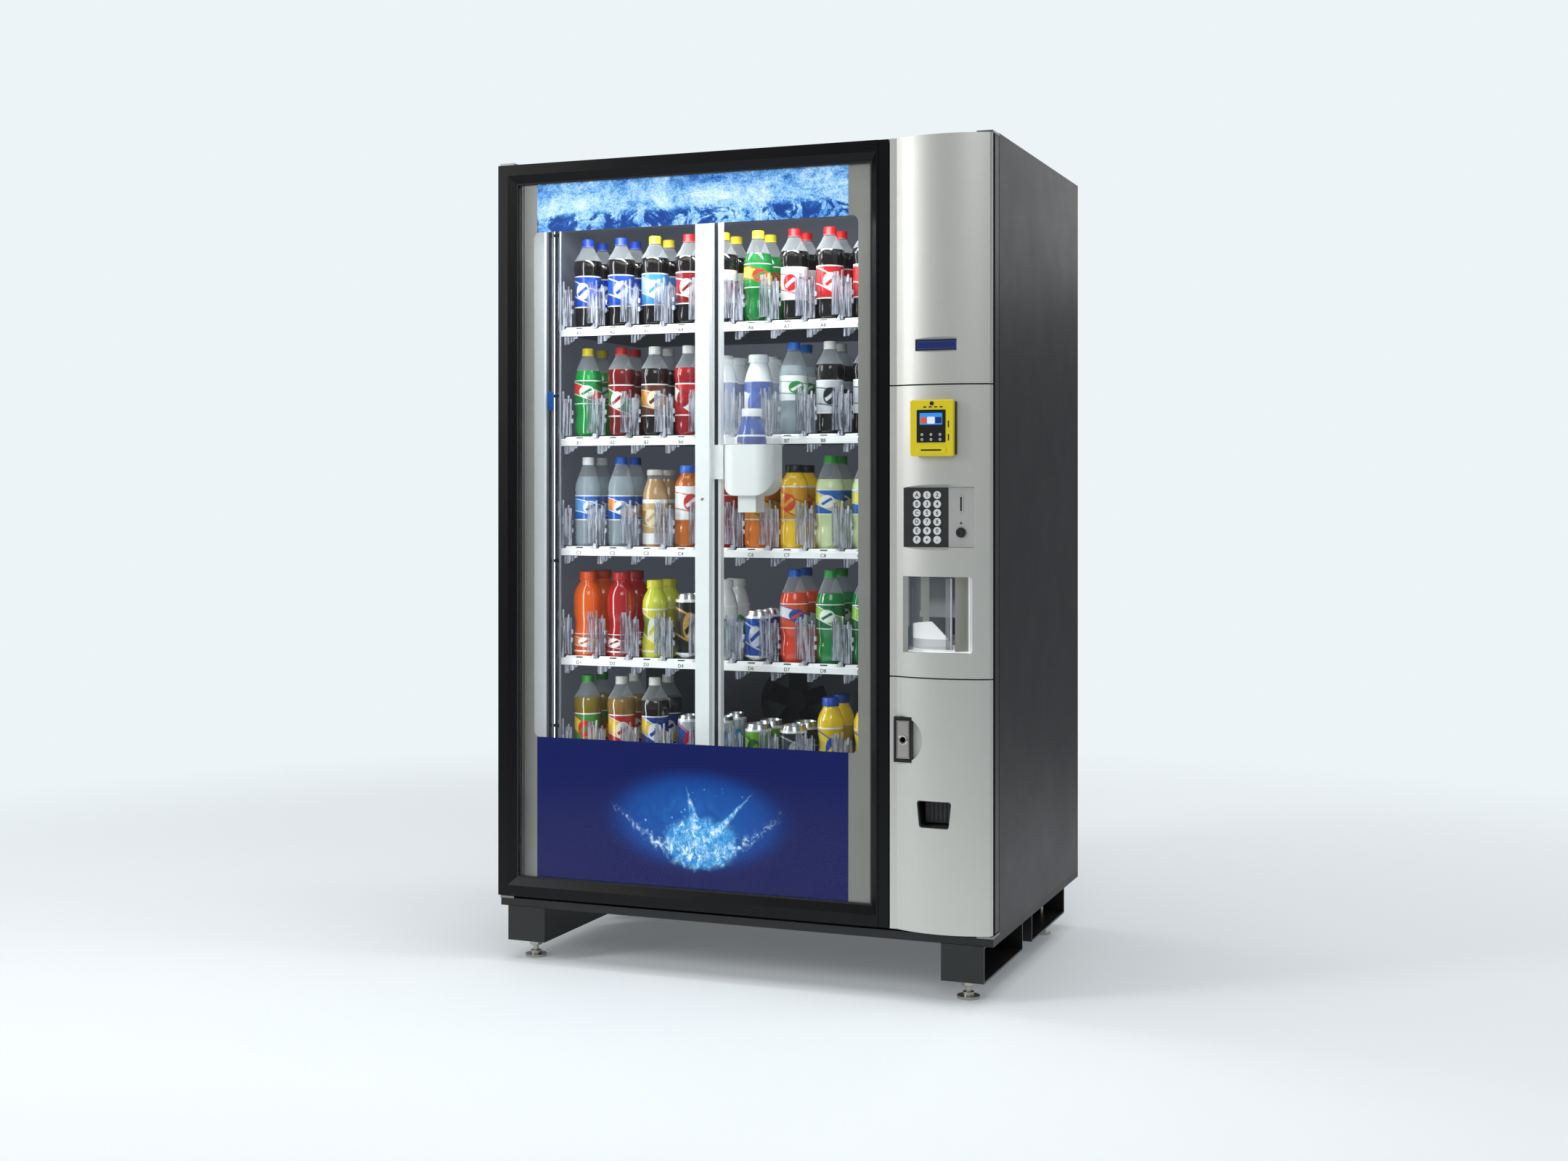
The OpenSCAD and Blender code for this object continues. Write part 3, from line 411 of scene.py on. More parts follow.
class Material(Bench):
    """A new material while its nodes are drawn."""

    def __init__(self, name: str, **constants: float) -> None:
        """Starts the material with its coordinates and its shader.

        Args:
            name: the finish's name.
            constants: values of the shader's own sockets, with _ for a space.
        """
        self.made = bpy.data.materials.new(name + "_finish")
        self.made.use_nodes = True
        super().__init__(self.made.node_tree)
        self.tree.nodes.clear()
        self.where = self.spot()
        self.shader = self.node("BsdfPrincipled")
        for label, value in constants.items():
            self.shader.inputs[label.replace("_", " ")].default_value = value

    def feed(self, **wires: Value) -> None:
        """Feeds the shader's sockets, by name with _ for a space."""
        for label, value in wires.items():
            plug(self.tree, self.shader.inputs[label.replace("_", " ")], value)

    def shine(self, colour: Value, strength: float) -> None:
        """Gives the surface a glow of its colour, if the strength isn't 0."""
        if strength:
            self.feed(Emission_Color=colour, Emission_Strength=strength)

    def done(self, surface: Optional[bpy.types.Node] = None) -> bpy.types.Material:
        """Joins the shader, or another node, to the output and returns the material."""
        exit_node = self.node("OutputMaterial")
        self.tree.links.new((surface or self.shader).outputs[0], exit_node.inputs["Surface"])
        return self.made


class Skin(Enum):
    """The fine relief of a finish."""

    POWDER = "powder"
    MOULDED = "moulded"
    BRUSHED_UP = "brushed up"
    BRUSHED_ACROSS = "brushed across"
    TURNED = "turned"


@dataclass(frozen=True)
class Finish:
    """A solid finish: paint, plastic, metal or rubber.

    Colours are six-digit sRGB codes; relief is the bump's depth in millimetres.
    """

    name: str
    colour: str
    rough: float = 0.45
    metal: float = 0.0
    coat: float = 0.0
    skin: Skin = Skin.MOULDED
    fineness: float = 800.0
    relief: float = 0.05
    drift: float = 0.1
    drift_scale: float = 3.0
    wear: float = 0.0
    wear_colour: str = "8a8a88"
    wear_radius: float = 1.5
    dust: float = 0.0
    dust_colour: str = "8f8b84"
    gloss_play: float = 0.12
    glow: float = 0.0
    specular: float = 0.5

    def paint(self, bench: Material, colour: Value) -> Value:
        """Returns the pattern over the base colour; the plain finish has none."""
        return colour

    def relief_parts(self, bench: Material) -> tuple[Wire, Wire]:
        """Returns the height and the mask of the relief."""
        fine = self.fineness
        plain = {Skin.POWDER: powder_coat, Skin.MOULDED: moulded_skin}
        if self.skin in plain:
            node = bench.place(plain[self.skin](), Vector=bench.where, Scale=fine)
        else:
            stretch = {Skin.BRUSHED_UP: (fine, fine, fine * 0.008),
                       Skin.BRUSHED_ACROSS: (fine * 0.008, fine, fine),
                       Skin.TURNED: (fine * 0.3, fine * 0.3, fine)}[self.skin]
            node = bench.place(brushed_lines(), Vector=bench.where, Stretch=stretch)
        return bench.out(node, "Height"), bench.out(node, "Mask")

    @cache
    def material(self) -> bpy.types.Material:
        """Returns the material, built on first use."""
        work = Material(self.name, Coat_Weight=self.coat, Coat_Roughness=0.08,
                        Specular_IOR_Level=self.specular)
        spot = work.where
        colour = work.out(work.place(shade_drift(), Vector=spot, Color=self.paint(work, rgb(self.colour)),
                                     Scale=self.drift_scale, Amount=self.drift))
        height, mask = self.relief_parts(work)
        rough = ((mask - 0.5) * self.gloss_play) + self.rough
        metal: Union[float, Wire] = self.metal
        if self.wear:
            worn = work.out(work.place(edge_wear(), Vector=spot, Amount=self.wear,
                                       Radius=self.wear_radius * MM))
            colour = work.mix(worn, colour, rgb(self.wear_colour))
            metal = self.metal or worn * 0.8
        if self.dust:
            dust = work.out(work.place(settled_dust(), Vector=spot, Amount=self.dust))
            colour = work.mix(dust, colour, rgb(self.dust_colour))
            rough = rough + (dust * 0.35)
        bump = work.node("Bump", {"Strength": 1.0, "Distance": self.relief * MM, "Height": height})
        work.feed(Base_Color=colour, Roughness=rough, Metallic=metal, Normal=work.out(bump))
        work.shine(colour, self.glow)
        return work.done()


@dataclass(frozen=True)
class PaneFinish:
    """Flat clear glass that lets lamps through."""

    name: str
    tint: str = "fbfdfd"
    rough: float = 0.0
    refraction: float = 1.22

    @cache
    def material(self) -> bpy.types.Material:
        """Returns the material, built on first use."""
        work = Material(self.name, IOR=self.refraction, Metallic=0.0, Transmission_Weight=1.0)
        smudge = work.out(work.place(hand_smudges(), Vector=work.where, Scale=3.0))
        work.feed(Base_Color=work.mix(smudge * 0.12, rgb(self.tint), rgb("dfe6e6")),
                  Roughness=(smudge * 0.012) + self.rough)
        clear = work.node("BsdfTransparent", {0: rgb(self.tint)})
        mixer = work.node("MixShader", {0: work.out(work.node("LightPath"), "Is Shadow Ray")})
        for index, entry in enumerate((work.shader, clear), 1):
            work.tree.links.new(entry.outputs[0], mixer.inputs[index])
        return work.done(mixer)


@dataclass(frozen=True)
class ClearFinish:
    """Clear moulded plastic, seen more at its edges and ridges than through its faces; ridge shading paints
    light and shade along its ridges.
    """

    name: str
    colour: str = "e8edf2"
    body: float = 0.16
    edge: float = 0.75
    ridge_shading: float = 0.0
    rough: float = 0.08
    glow: float = 0.0
    # shade: the colour of the painted shade between the ridges' pale stripes.
    shade: str = "6f7384"

    @cache
    def material(self) -> bpy.types.Material:
        """Returns the material, built on first use."""
        work = Material(self.name, IOR=1.5)
        facing = work.out(work.node("LayerWeight", {"Blend": 0.45}), "Facing")
        alpha = (facing.math("POWER", 2.2) * self.edge) + self.body
        lines = work.place(brushed_lines(), Vector=work.where, Stretch=(190.0, 190.0, 14.0))
        colour: Value = rgb(self.colour)
        # Painted light and shade of the ridges: pale, more opaque stripes over the shade colour.
        if self.ridge_shading:
            streak = work.out(lines, "Height").ramp(0.44, 0.58)
            alpha = alpha + (streak * self.ridge_shading)
            colour = work.mix(streak, rgb(self.shade), colour)
        tint = work.out(work.place(shade_drift(), Vector=work.where, Color=colour, Scale=30.0, Amount=0.08))
        smudge = work.out(work.place(hand_smudges(), Vector=work.where, Scale=14.0))
        bump = work.node("Bump", {"Distance": 0.15 * MM, "Height": work.out(lines, "Mask")})
        work.feed(Base_Color=tint, Roughness=(smudge * 0.15) + self.rough, Normal=work.out(bump),
                  Alpha=alpha.math("MINIMUM", 1.0))
        work.shine(tint, self.glow)
        return work.done()


AnyFinish = Union[Finish, PaneFinish, ClearFinish]


# ---- patterned finishes

@dataclass(frozen=True)
class MitredFinish(Finish):
    """Satin door bars with a fine seam along each mitre."""

    outer: Optional[Extent] = None

    def paint(self, bench: Material, colour: Value) -> Value:
        """Draws the mitre seams.

        Args:
            bench: the material's nodes.
            colour: the base colour.

        Returns:
            The patterned colour.
        """
        x, _, z = bench.parts(bench.where)
        box = self.outer
        from_side = x.inside(box.mid_x, box.x1 - box.x0)
        from_end = z.inside(box.mid_z, box.z1 - box.z0)
        seam = (from_side - from_end).size().ramp(0.0008, 0.0003)
        return bench.mix(seam * 0.85, colour, rgb("000000"))


@dataclass(frozen=True)
class LinedFinish(Finish):
    """Black powder coat outside, and enamel on the faces inside the cold box."""

    lining: str = "5c606b"
    half_width: float = 565.0
    front: float = 66.0
    back: float = 789.0
    top: float = 1818.0

    def paint(self, bench: Material, colour: Value) -> Value:
        """Lines the inner faces.

        Args:
            bench: the material's nodes.
            colour: the outer colour.

        Returns:
            The patterned colour.
        """
        x, y, z = bench.parts(bench.where)
        front, back = ((d - DOOR_FACE_D) * MM for d in (self.front, self.back))
        inside = x.size().ramp((self.half_width + 0.9) * MM, (self.half_width + 0.3) * MM)
        inside = inside * y.ramp(front, front + 0.001) * y.ramp(back + 0.0009, back + 0.0003)
        inside = inside * z.ramp((self.top + 0.9) * MM, (self.top + 0.3) * MM)
        return bench.mix(inside, colour, rgb(self.lining))


@dataclass(frozen=True)
class PortSheetFinish(Finish):
    """The dark sheet at the back of the port, with painted light that makes it paler towards its foot."""

    pale_z: float = 832.0
    dark_z: float = 866.0

    def paint(self, bench: Material, colour: Value) -> Value:
        """Paints light onto the sheet towards its foot.

        Args:
            bench: the material's nodes.
            colour: the dark colour.

        Returns:
            The graded colour.
        """
        # Painted light, strongest at the sheet's foot.
        low = bench.parts(bench.where)[2].ramp(self.dark_z * MM, self.pale_z * MM)
        return bench.mix(low, colour, rgb("777b80"))


@dataclass(frozen=True)
class BorderFinish(Finish):
    """The printed grey border behind the glass, with painted shade that darkens it towards the hinge side and
    painted light that pales it higher up.
    """

    dark_x: float = -556.0
    light_x: float = -494.0

    def paint(self, bench: Material, colour: Value) -> Value:
        """Paints shade on the print towards the hinge side, a dark line, and paler light higher up.

        Args:
            bench: the material's nodes.
            colour: the base colour.

        Returns:
            The graded colour.
        """
        x, _, z = bench.parts(bench.where)
        # Painted shade, darkest at the hinge-side bar.
        near = x.ramp(self.dark_x * MM, self.light_x * MM)
        graded = bench.mix(near, rgb("1e1e20"), colour)
        line = (x - (self.dark_x + 12.0) * MM).size().ramp(0.0022, 0.0008)
        graded = bench.mix(line * 0.5, graded, rgb("0c0c0e"))
        # Painted light: paler above 0.42 m and again towards the top.
        graded = bench.mix(z.ramp(0.36, 0.42) * 0.1, graded, rgb("a5a49c"))
        return bench.mix(z.ramp(1.45, 1.82) * 0.2, graded, rgb("a5a49c"))


@dataclass(frozen=True)
class IceFinish(Finish):
    """The header picture: churned, icy water, brightest in its middle band."""

    low: float = 1705.0
    high: float = 1819.0

    def paint(self, bench: Material, colour: Value) -> Value:
        """Draws the water.

        Args:
            bench: the material's nodes.
            colour: unused base colour.

        Returns:
            The picture's colour.
        """
        x, _, z = bench.parts(bench.where)
        flat = bench.joined(x, 0.0, z)
        drawn = bench.scaled(flat, (1.0, 1.0, 2.4))
        cloud = bench.noise(drawn, 7.0, 9.0, 0.66, 1.4)
        froth = bench.noise(flat, 40.0, 9.0, 0.84, 0.5)
        spray = bench.noise(flat, 230.0, 3.0, 0.8)
        tone = (cloud * 0.5) + (froth * 0.5) + (spray * 0.36) - 0.12
        up = z.ramp(self.low * MM, self.high * MM)
        band = (up - 0.45).size().ramp(0.12, 0.62)
        tone = tone - (band * 0.06)
        clump = bench.noise(flat, 20.0, 6.0, 0.7, 0.6).ramp(0.46, 0.56)
        deep = clump * up.ramp(0.36, 0.12)
        tone = tone - (deep * 0.22)
        ramp = bench.node("ValToRGB", {0: tone})
        steps = ramp.color_ramp
        steps.elements[0].position, steps.elements[0].color = 0.34, rgb("173f8c")
        steps.elements[1].position, steps.elements[1].color = 0.71, rgb("f2f9ff")
        for place, code in ((0.43, "3270bd"), (0.5, "6ba6df"), (0.56, "a3cdf2"), (0.63, "cfe6fa")):
            steps.elements.new(place).color = rgb(code)
        bead = bench.cells(flat, 300.0).ramp(0.16, 0.06)
        specks = bead * froth.ramp(0.5, 0.62)
        cracks = bench.cells(bench.scaled(flat, (1.0, 1.0, 1.3)), 26.0, "DISTANCE_TO_EDGE").ramp(0.03, 0.0)
        lined = cracks * bench.noise(flat, 12.0, 3.0).ramp(0.5, 0.64)
        tinted = bench.mix(lined * 0.5, bench.out(ramp), rgb("1d4f9c"))
        return bench.mix(specks * 0.55, tinted, rgb("ffffff"))


@dataclass(frozen=True)
class SplashFinish(Finish):
    """The lower picture: a splash of water in a soft oval glow on deep blue."""

    centre_x: float = -96.0
    centre_z: float = 352.0
    half_x: float = 235.0
    half_z: float = 121.0

    def paint(self, bench: Material, colour: Value) -> Value:
        """Draws the glow, the bowl of water, its arms and its drops.

        Args:
            bench: the material's nodes.
            colour: the ground colour.

        Returns:
            The picture's colour.
        """
        x, _, z = bench.parts(bench.where)
        flat = bench.joined(x, 0.0, z)
        across = (x - self.centre_x * MM) * (1.0 / (self.half_x * MM))
        up = (z - self.centre_z * MM) * (1.0 / (self.half_z * MM))
        ring = across.hypot(up)
        glow = ring.ramp(1.06, 0.62)
        swirl = bench.noise(flat, 18.0, 4.0, 0.5, 1.5)
        ground = bench.mix(z.ramp(0.19, 0.52), rgb("111552"), colour)
        sea = bench.mix(swirl.ramp(0.35, 0.7), rgb("114f9e"), rgb("1a5fae"))
        sea = bench.mix(ring.ramp(0.2, 0.95), sea, rgb("0e3f8e"))
        picture = bench.mix(glow, ground, sea)
        wobble = (bench.noise(flat, 30.0, 6.0, 0.7, 1.8) - 0.5) * 0.55
        ragged = bench.noise(bench.scaled(flat, (1.0, 1.0, 0.7)), 75.0, 8.0, 0.8, 0.7)
        bowl = (up + 0.62) - ((across * across) * 1.05)
        reach = (across.size() * -0.2) + 0.26
        arms = (bowl + wobble).size()
        arms = (arms - reach).ramp(0.0, -0.2) * ragged.ramp(0.46, 0.56)
        pool_x = (across - 0.04) * 2.5
        pool_z = (up + 0.42) * 2.0
        pool = pool_x.hypot(pool_z) + (wobble * 1.3)
        body = pool.ramp(1.1, 0.75)
        spouts = ragged.ramp(0.36, 0.5) * up.ramp(-0.7, -0.3)
        left = ((across + 0.02 + up * 0.14) + wobble * 0.12).size() - (up * -0.09 + 0.045)
        right = ((across - 0.3 - up * 0.5) + wobble * 0.16).size() - (up * -0.08 + 0.035)
        spouts = spouts * left.ramp(0.02, -0.02).math("MAXIMUM", right.ramp(0.02, -0.02))
        drops = bench.cells(flat, 70.0).ramp(0.2, 0.12) * bench.noise(flat, 11.0, 2.0).ramp(0.52, 0.6)
        drops = drops * ring.ramp(0.85, 0.6)
        water = arms.math("MAXIMUM", spouts).math("MAXIMUM", drops * 0.8)
        churn = bench.mix(ragged.ramp(0.4, 0.6), rgb("1f86d2"), rgb("74c6f0"))
        picture = bench.mix(body * 0.85, picture, churn)
        crests = body * ragged.ramp(0.53, 0.62)
        water = water.math("MAXIMUM", crests) * ring.ramp(1.0, 0.84)
        foam = bench.mix(ragged.ramp(0.46, 0.62), rgb("4fb0ea"), rgb("f4fcff"))
        return bench.mix(water * 0.92, picture, foam)


@dataclass(frozen=True)
class CoverFinish(Finish):
    """Champagne metal-flake lacquer over moulded covers."""

    def paint(self, bench: Material, colour: Value) -> Value:
        """Adds the flake.

        Args:
            bench: the material's nodes.
            colour: the base colour.

        Returns:
            The flaked colour.
        """
        flake = bench.node("TexVoronoi", {"Vector": bench.where, "Scale": 1500.0})
        spark = bench.parts(bench.out(flake, "Color"))[0].ramp(0.55, 1.0)
        return bench.mix(spark * 0.22, colour, rgb("f2efe6"))


@dataclass(frozen=True)
class ScreenFinish(Finish):
    """A dark display behind its window, with a lighter line round its field."""

    box: Optional[Extent] = None
    field_colour: str = "18276b"
    line_colour: str = "4a62b4"

    def paint(self, bench: Material, colour: Value) -> Value:
        """Draws the field, its line and the dots of the display.

        Args:
            bench: the material's nodes.
            colour: the colour of the rim.

        Returns:
            The patterned colour.
        """
        x, _, z = bench.parts(bench.where)
        box = self.box
        side = x.inside(box.mid_x, box.x1 - box.x0)
        inset = side.math("MINIMUM", z.inside(box.mid_z, box.z1 - box.z0))
        inside = inset.ramp(0.0034, 0.004)
        dots = bench.cells(bench.joined(x, 0.0, z), 720.0).ramp(0.5, 0.2)
        field = bench.mix(dots * 0.3, rgb(self.field_colour), rgb("2c3f96"))
        drawn = bench.mix(inside, colour, field)
        line = (inset - 0.0034).size().ramp(0.0009, 0.0003)
        return bench.mix(line * 0.6, drawn, rgb(self.line_colour))


@dataclass(frozen=True)
class LabelFinish(Finish):
    """A printed sleeve with its own band, mark and trim, read from the bottle's UV map."""

    band: str = "ffffff"
    mark: str = "d02020"
    wave: float = 0.18
    mark_size: float = 0.16
    turns: float = 1.0
    shift: float = 0.0

    def paint(self, bench: Material, colour: Value) -> Value:
        """Places the sleeve's print.

        Args:
            bench: the material's nodes.
            colour: the sleeve's ground.

        Returns:
            The printed colour.
        """
        uv = bench.out(bench.node("UVMap", uv_map="sleeve"))
        print_node = bench.place(sleeve_print(), Vector=uv, Ground=colour, Band=rgb(self.band),
                                 Mark=rgb(self.mark), Wave=self.wave, Size=self.mark_size,
                                 Turns=self.turns, Shift=self.shift)
        return bench.out(print_node)


@cache
def sleeve_print() -> NodeTree:
    """Returns the group that prints a sleeve: a waving band, an oval mark, trims and small rows."""
    g = GroupSketch("sleeve_print", {"Vector": (0.0, 0.0, 0.0), "Ground": (1.0, 1.0, 1.0, 1.0),
                                     "Band": (0.0, 0.0, 1.0, 1.0), "Mark": (1.0, 0.0, 0.0, 1.0),
                                     "Wave": 0.18, "Size": 0.16, "Turns": 1.0, "Shift": 0.0}, {"Color": 4})
    u, v, _ = g.parts(g.given("Vector"))
    angle = (u * g.given("Turns") + g.given("Shift")) * (2 * math.pi)
    middle = (angle.math("SINE") * g.given("Wave")) + 0.48
    band = (v - middle).size().ramp(0.22, 0.19)
    colour = g.mix(band, g.given("Ground"), g.given("Band"))
    edge = ((v - middle).size() - 0.24).size().ramp(0.03, 0.015)
    colour = g.mix(edge * 0.8, colour, g.given("Mark"))
    twice = (u * 2.0 + 0.5).math("FRACT") - 0.5
    oval_x, oval_z = twice * 0.9, (v - 0.52) * 0.62
    ring = oval_x.hypot(oval_z)
    gap = g.given("Size")
    oval = (ring - gap).ramp(0.012, -0.012)
    colour = g.mix(oval, colour, g.given("Mark"))
    swirl = ((oval_z * 4.0) - (oval_x * 9.0).math("SINE") * 0.35).size().ramp(0.2, 0.12)
    colour = g.mix((ring - gap * 0.8).ramp(0.012, -0.012) * swirl, colour, g.given("Ground"))
    rows = ((v * 17.0).math("FRACT") - 0.5).size().ramp(0.32, 0.2)
    words = g.noise(g.joined(u * 160.0, (v * 17.0).math("FLOOR"), 0.0), 1.0, 1.0).ramp(0.5, 0.55)
    beside = twice.size().ramp(0.36, 0.42)
    colour = g.mix((rows * words) * (beside * 0.6), colour, (0.02, 0.02, 0.03, 1.0))
    trims = v.ramp(0.045, 0.03).math("MAXIMUM", v.ramp(0.955, 0.97))
    colour = g.mix(trims, colour, (0.9, 0.9, 0.9, 1.0))
    return g.give(Color=colour)


# ---- mesh tools

def rounded(x0: float, x1: float, z0: float, z1: float, radius: float, steps: int = 6) -> list[Point2]:
    """Draws a rectangle with rounded corners.

    Args:
        x0: left.
        x1: right.
        z0: bottom.
        z1: top.
        radius: of the corners.
        steps: segments per corner.

    Returns:
        The outline, anticlockwise from the bottom right corner.
    """
    points = []
    for cx, cz, start in ((x1 - radius, z0 + radius, -90), (x1 - radius, z1 - radius, 0),
                          (x0 + radius, z1 - radius, 90), (x0 + radius, z0 + radius, 180)):
        for k in range(steps + 1):
            a = math.radians(start + 90 * k / steps)
            points.append((cx + radius * math.cos(a), cz + radius * math.sin(a)))
    return points


class Plane(Enum):
    """The plane an outline is drawn in; it is pushed out along the third axis."""

    FRONT = "x and z, pushed in d"
    PLAN = "x and d, pushed in z"
    SIDE = "d and z, pushed in x"


class Facing(Enum):
    """Where the axis of a turned shape points: signs and order of its side, other and height."""

    UP = (0, 1, 2, 1)
    FRONT = (0, 2, 1, -1)
    BACK = (0, 2, 1, 1)
    RIGHT = (1, 2, 0, 1)
    LEFT = (1, 2, 0, -1)

    def offset(self, side: float, other: float, height: float) -> Point3:
        """Returns the offset in x, d and z of a point of the profile."""
        parts = [0.0, 0.0, 0.0]
        parts[self.value[0]] = side
        parts[self.value[1]] = other
        parts[self.value[2]] = height * self.value[3]
        return (parts[0], parts[1], parts[2])


class Sketch:
    """Gathers closed shells in millimetres and makes one object of them."""

    def __init__(self, name: str) -> None:
        """Starts empty.

        Args:
            name: the piece's name.
        """
        self.name = name
        self.mesh = bmesh.new()
        self.uv = self.mesh.loops.layers.uv.new("sleeve")

    def place(self, plane: Plane, a: float, b: float, along: float) -> Vector:
        """Returns the point for plane coordinates a and b and the distance along the push."""
        if plane is Plane.FRONT:
            return at(a, along, b)
        if plane is Plane.PLAN:
            return at(a, b, along)
        return at(along, a, b)

    def face(self, corners: Sequence[bmesh.types.BMVert], finish: int) -> Optional[bmesh.types.BMFace]:
        """Adds a face, leaving out one that has no area.

        Args:
            corners: its vertices.
            finish: index of its material.

        Returns:
            The face, or nothing.
        """
        corners = list(dict.fromkeys(corners))
        if len(corners) < 3:
            return None
        made = self.mesh.faces.new(corners)
        made.material_index = finish
        made.smooth = True
        return made

    def prism(self, outline: Sequence[Point2], plane: Plane, low: float, high: float, finish: int = 0,
              ease: float = 0.0) -> "Sketch":
        """Pushes an outline out, with eased rims.

        Args:
            outline: its points.
            plane: where it is drawn.
            low: start of the push.
            high: end of the push.
            finish: index of its material.
            ease: how far both rims are drawn in, for outlines that go round their middle.

        Returns:
            This sketch.
        """
        cx = sum(p[0] for p in outline) / len(outline)
        cz = sum(p[1] for p in outline) / len(outline)
        levels = [(low, 0.0), (high, 0.0)]
        if ease:
            levels = [(low, ease), (low + ease, 0.0), (high - ease, 0.0), (high, ease)]
        rings = []
        for along, draw in levels:
            ring = []
            for a, b in outline:
                reach = math.hypot(a - cx, b - cz) or 1.0
                keep = 1 - draw / reach
                ring.append(self.mesh.verts.new(self.place(plane, cx + (a - cx) * keep,
                                                           cz + (b - cz) * keep, along)))
            rings.append(ring)
        for lower, upper in zip(rings, rings[1:]):
            for k in range(len(outline)):
                n = (k + 1) % len(outline)
                self.face((lower[k], lower[n], upper[n], upper[k]), finish)
        self.face(rings[0][::-1], finish)
        self.face(rings[-1], finish)
        return self

    def block(self, x0: float, x1: float, d0: float, d1: float, z0: float, z1: float,
              finish: int = 0) -> "Sketch":
        """Adds a box between two corners and returns this sketch."""
        return self.prism([(x0, z0), (x1, z0), (x1, z1), (x0, z1)], Plane.FRONT, d0, d1, finish)

    def tile(self, corners: tuple[float, float, float, float, float], low: float, high: float,
             finish: int = 0, ease: float = 0.0, steps: int = 6) -> "Sketch":
        """Pushes out a rounded rectangle of the front plane.

        Args:
            corners: its left, right, bottom, top and corner radius.
            low: front of the push.
            high: back of the push.
            finish: index of its material.
            ease: how far both rims are drawn in.
            steps: segments per corner.

        Returns:
            This sketch.
        """
        return self.prism(rounded(*corners, steps), Plane.FRONT, low, high, finish, ease)

    def rim(self, outer: Sequence[Point2], inner: Sequence[Point2], plane: Plane, low: float, high: float,
            finish: int = 0, inner_high: Optional[float] = None) -> "Sketch":
        """Adds a ring between two outlines with the same number of points.

        Args:
            outer: outer outline.
            inner: inner outline.
            plane: where they are drawn.
            low: start of the push.
            high: end of the push.
            finish: index of its material.
            inner_high: end of the push at the inner outline, if it slopes.

        Returns:
            This sketch.
        """
        inner_high = high if inner_high is None else inner_high
        rings = [[self.mesh.verts.new(self.place(plane, a, b, along)) for a, b in outline]
                 for outline, along in ((outer, low), (outer, high), (inner, inner_high), (inner, low))]
        for first, second in zip(rings, rings[1:] + rings[:1]):
            for k in range(len(outer)):
                n = (k + 1) % len(outer)
                self.face((first[k], first[n], second[n], second[k]), finish)
        return self

    def turned(self, centre: Point3, profile: Sequence[Point2], segments: int = 32,
               finish: Union[int, Callable[[float], int]] = 0, facing: Facing = Facing.UP, spin: float = 0.0,
               lobes: Optional[Callable[[float, float], float]] = None,
               sleeve: Optional[Point2] = None) -> "Sketch":
        """Turns a profile about an axis.

        Args:
            centre: x, d and z of the axis at height 0.
            profile: radius and height pairs; height is measured along the axis.
            segments: round the axis.
            finish: index of the material, or a function of height that returns it.
            facing: where the axis points.
            spin: start angle in degrees.
            lobes: factor on the radius for an angle and a height.
            sleeve: lowest and highest height of the label, for its UV map.

        Returns:
            This sketch.
        """
        x, d, z = centre
        rings = []
        for radius, height in profile:
            ring = []
            count = 1 if radius < 1e-6 else segments
            for k in range(count):
                a = math.radians(spin) + 2 * math.pi * k / segments
                r = radius * (lobes(a, height) if lobes else 1.0)
                side, back, up = facing.offset(r * math.cos(a), r * math.sin(a), height)
                ring.append(self.mesh.verts.new(at(x + side, d + back, z + up)))
            rings.append(ring)
        paint = finish if callable(finish) else lambda height: finish
        for (ring, upper), (low, high) in zip(zip(rings, rings[1:]), zip(profile, profile[1:])):
            slot = paint((low[1] + high[1]) / 2)
            for k in range(segments):
                n = (k + 1) % segments
                made = self.face((ring[k % len(ring)], ring[n % len(ring)],
                                  upper[n % len(upper)], upper[k % len(upper)]), slot)
                if made is not None and sleeve is not None and len(made.verts) == 4:
                    span = sleeve[1] - sleeve[0]
                    at_low, at_high = (low[1] - sleeve[0]) / span, (high[1] - sleeve[0]) / span
                    for loop, place in zip(made.loops, ((k, at_low), (k + 1, at_low), (k + 1, at_high),
                                                        (k, at_high))):
                        loop[self.uv].uv = (place[0] / segments, place[1])
        self.face(rings[0][::-1], paint(profile[0][1]))
        self.face(rings[-1], paint(profile[-1][1]))
        return self

    def letters(self, text: str, x: float, d: float, z: float, size: float, finish: int = 0,
                thick: float = 0.25, bold: float = 0.0) -> "Sketch":
        """Adds raised characters that face the front, centred on a point.

        Args:
            text: the characters.
            x: middle.
            d: depth of their back.
            z: middle.
            size: height of the font.
            finish: index of its material.
            thick: how far they stand out.
            bold: how far their outlines are drawn out.

        Returns:
            This sketch.
        """
        curve = bpy.data.curves.new("letters", "FONT")
        curve.body = text
        curve.size = size * MM
        curve.extrude = thick * MM / 2
        curve.offset = bold * MM
        curve.resolution_u = 3
        curve.align_x, curve.align_y = "CENTER", "CENTER"
        holder = bpy.data.objects.new("letters", curve)
        bpy.context.scene.collection.objects.link(holder)
        bpy.context.view_layer.update()
        cut = bpy.data.meshes.new_from_object(holder.evaluated_get(bpy.context.evaluated_depsgraph_get()))
        cut.transform(Matrix.Translation(at(x, d - thick / 2, z)) @ Matrix.Rotation(math.radians(90), 4, "X"))
        before = len(self.mesh.faces)
        self.mesh.from_mesh(cut)
        self.mesh.faces.ensure_lookup_table()
        for index in range(before, len(self.mesh.faces)):
            self.mesh.faces[index].material_index = finish
        bpy.data.objects.remove(holder)
        bpy.data.curves.remove(curve)
        bpy.data.meshes.remove(cut)
        return self

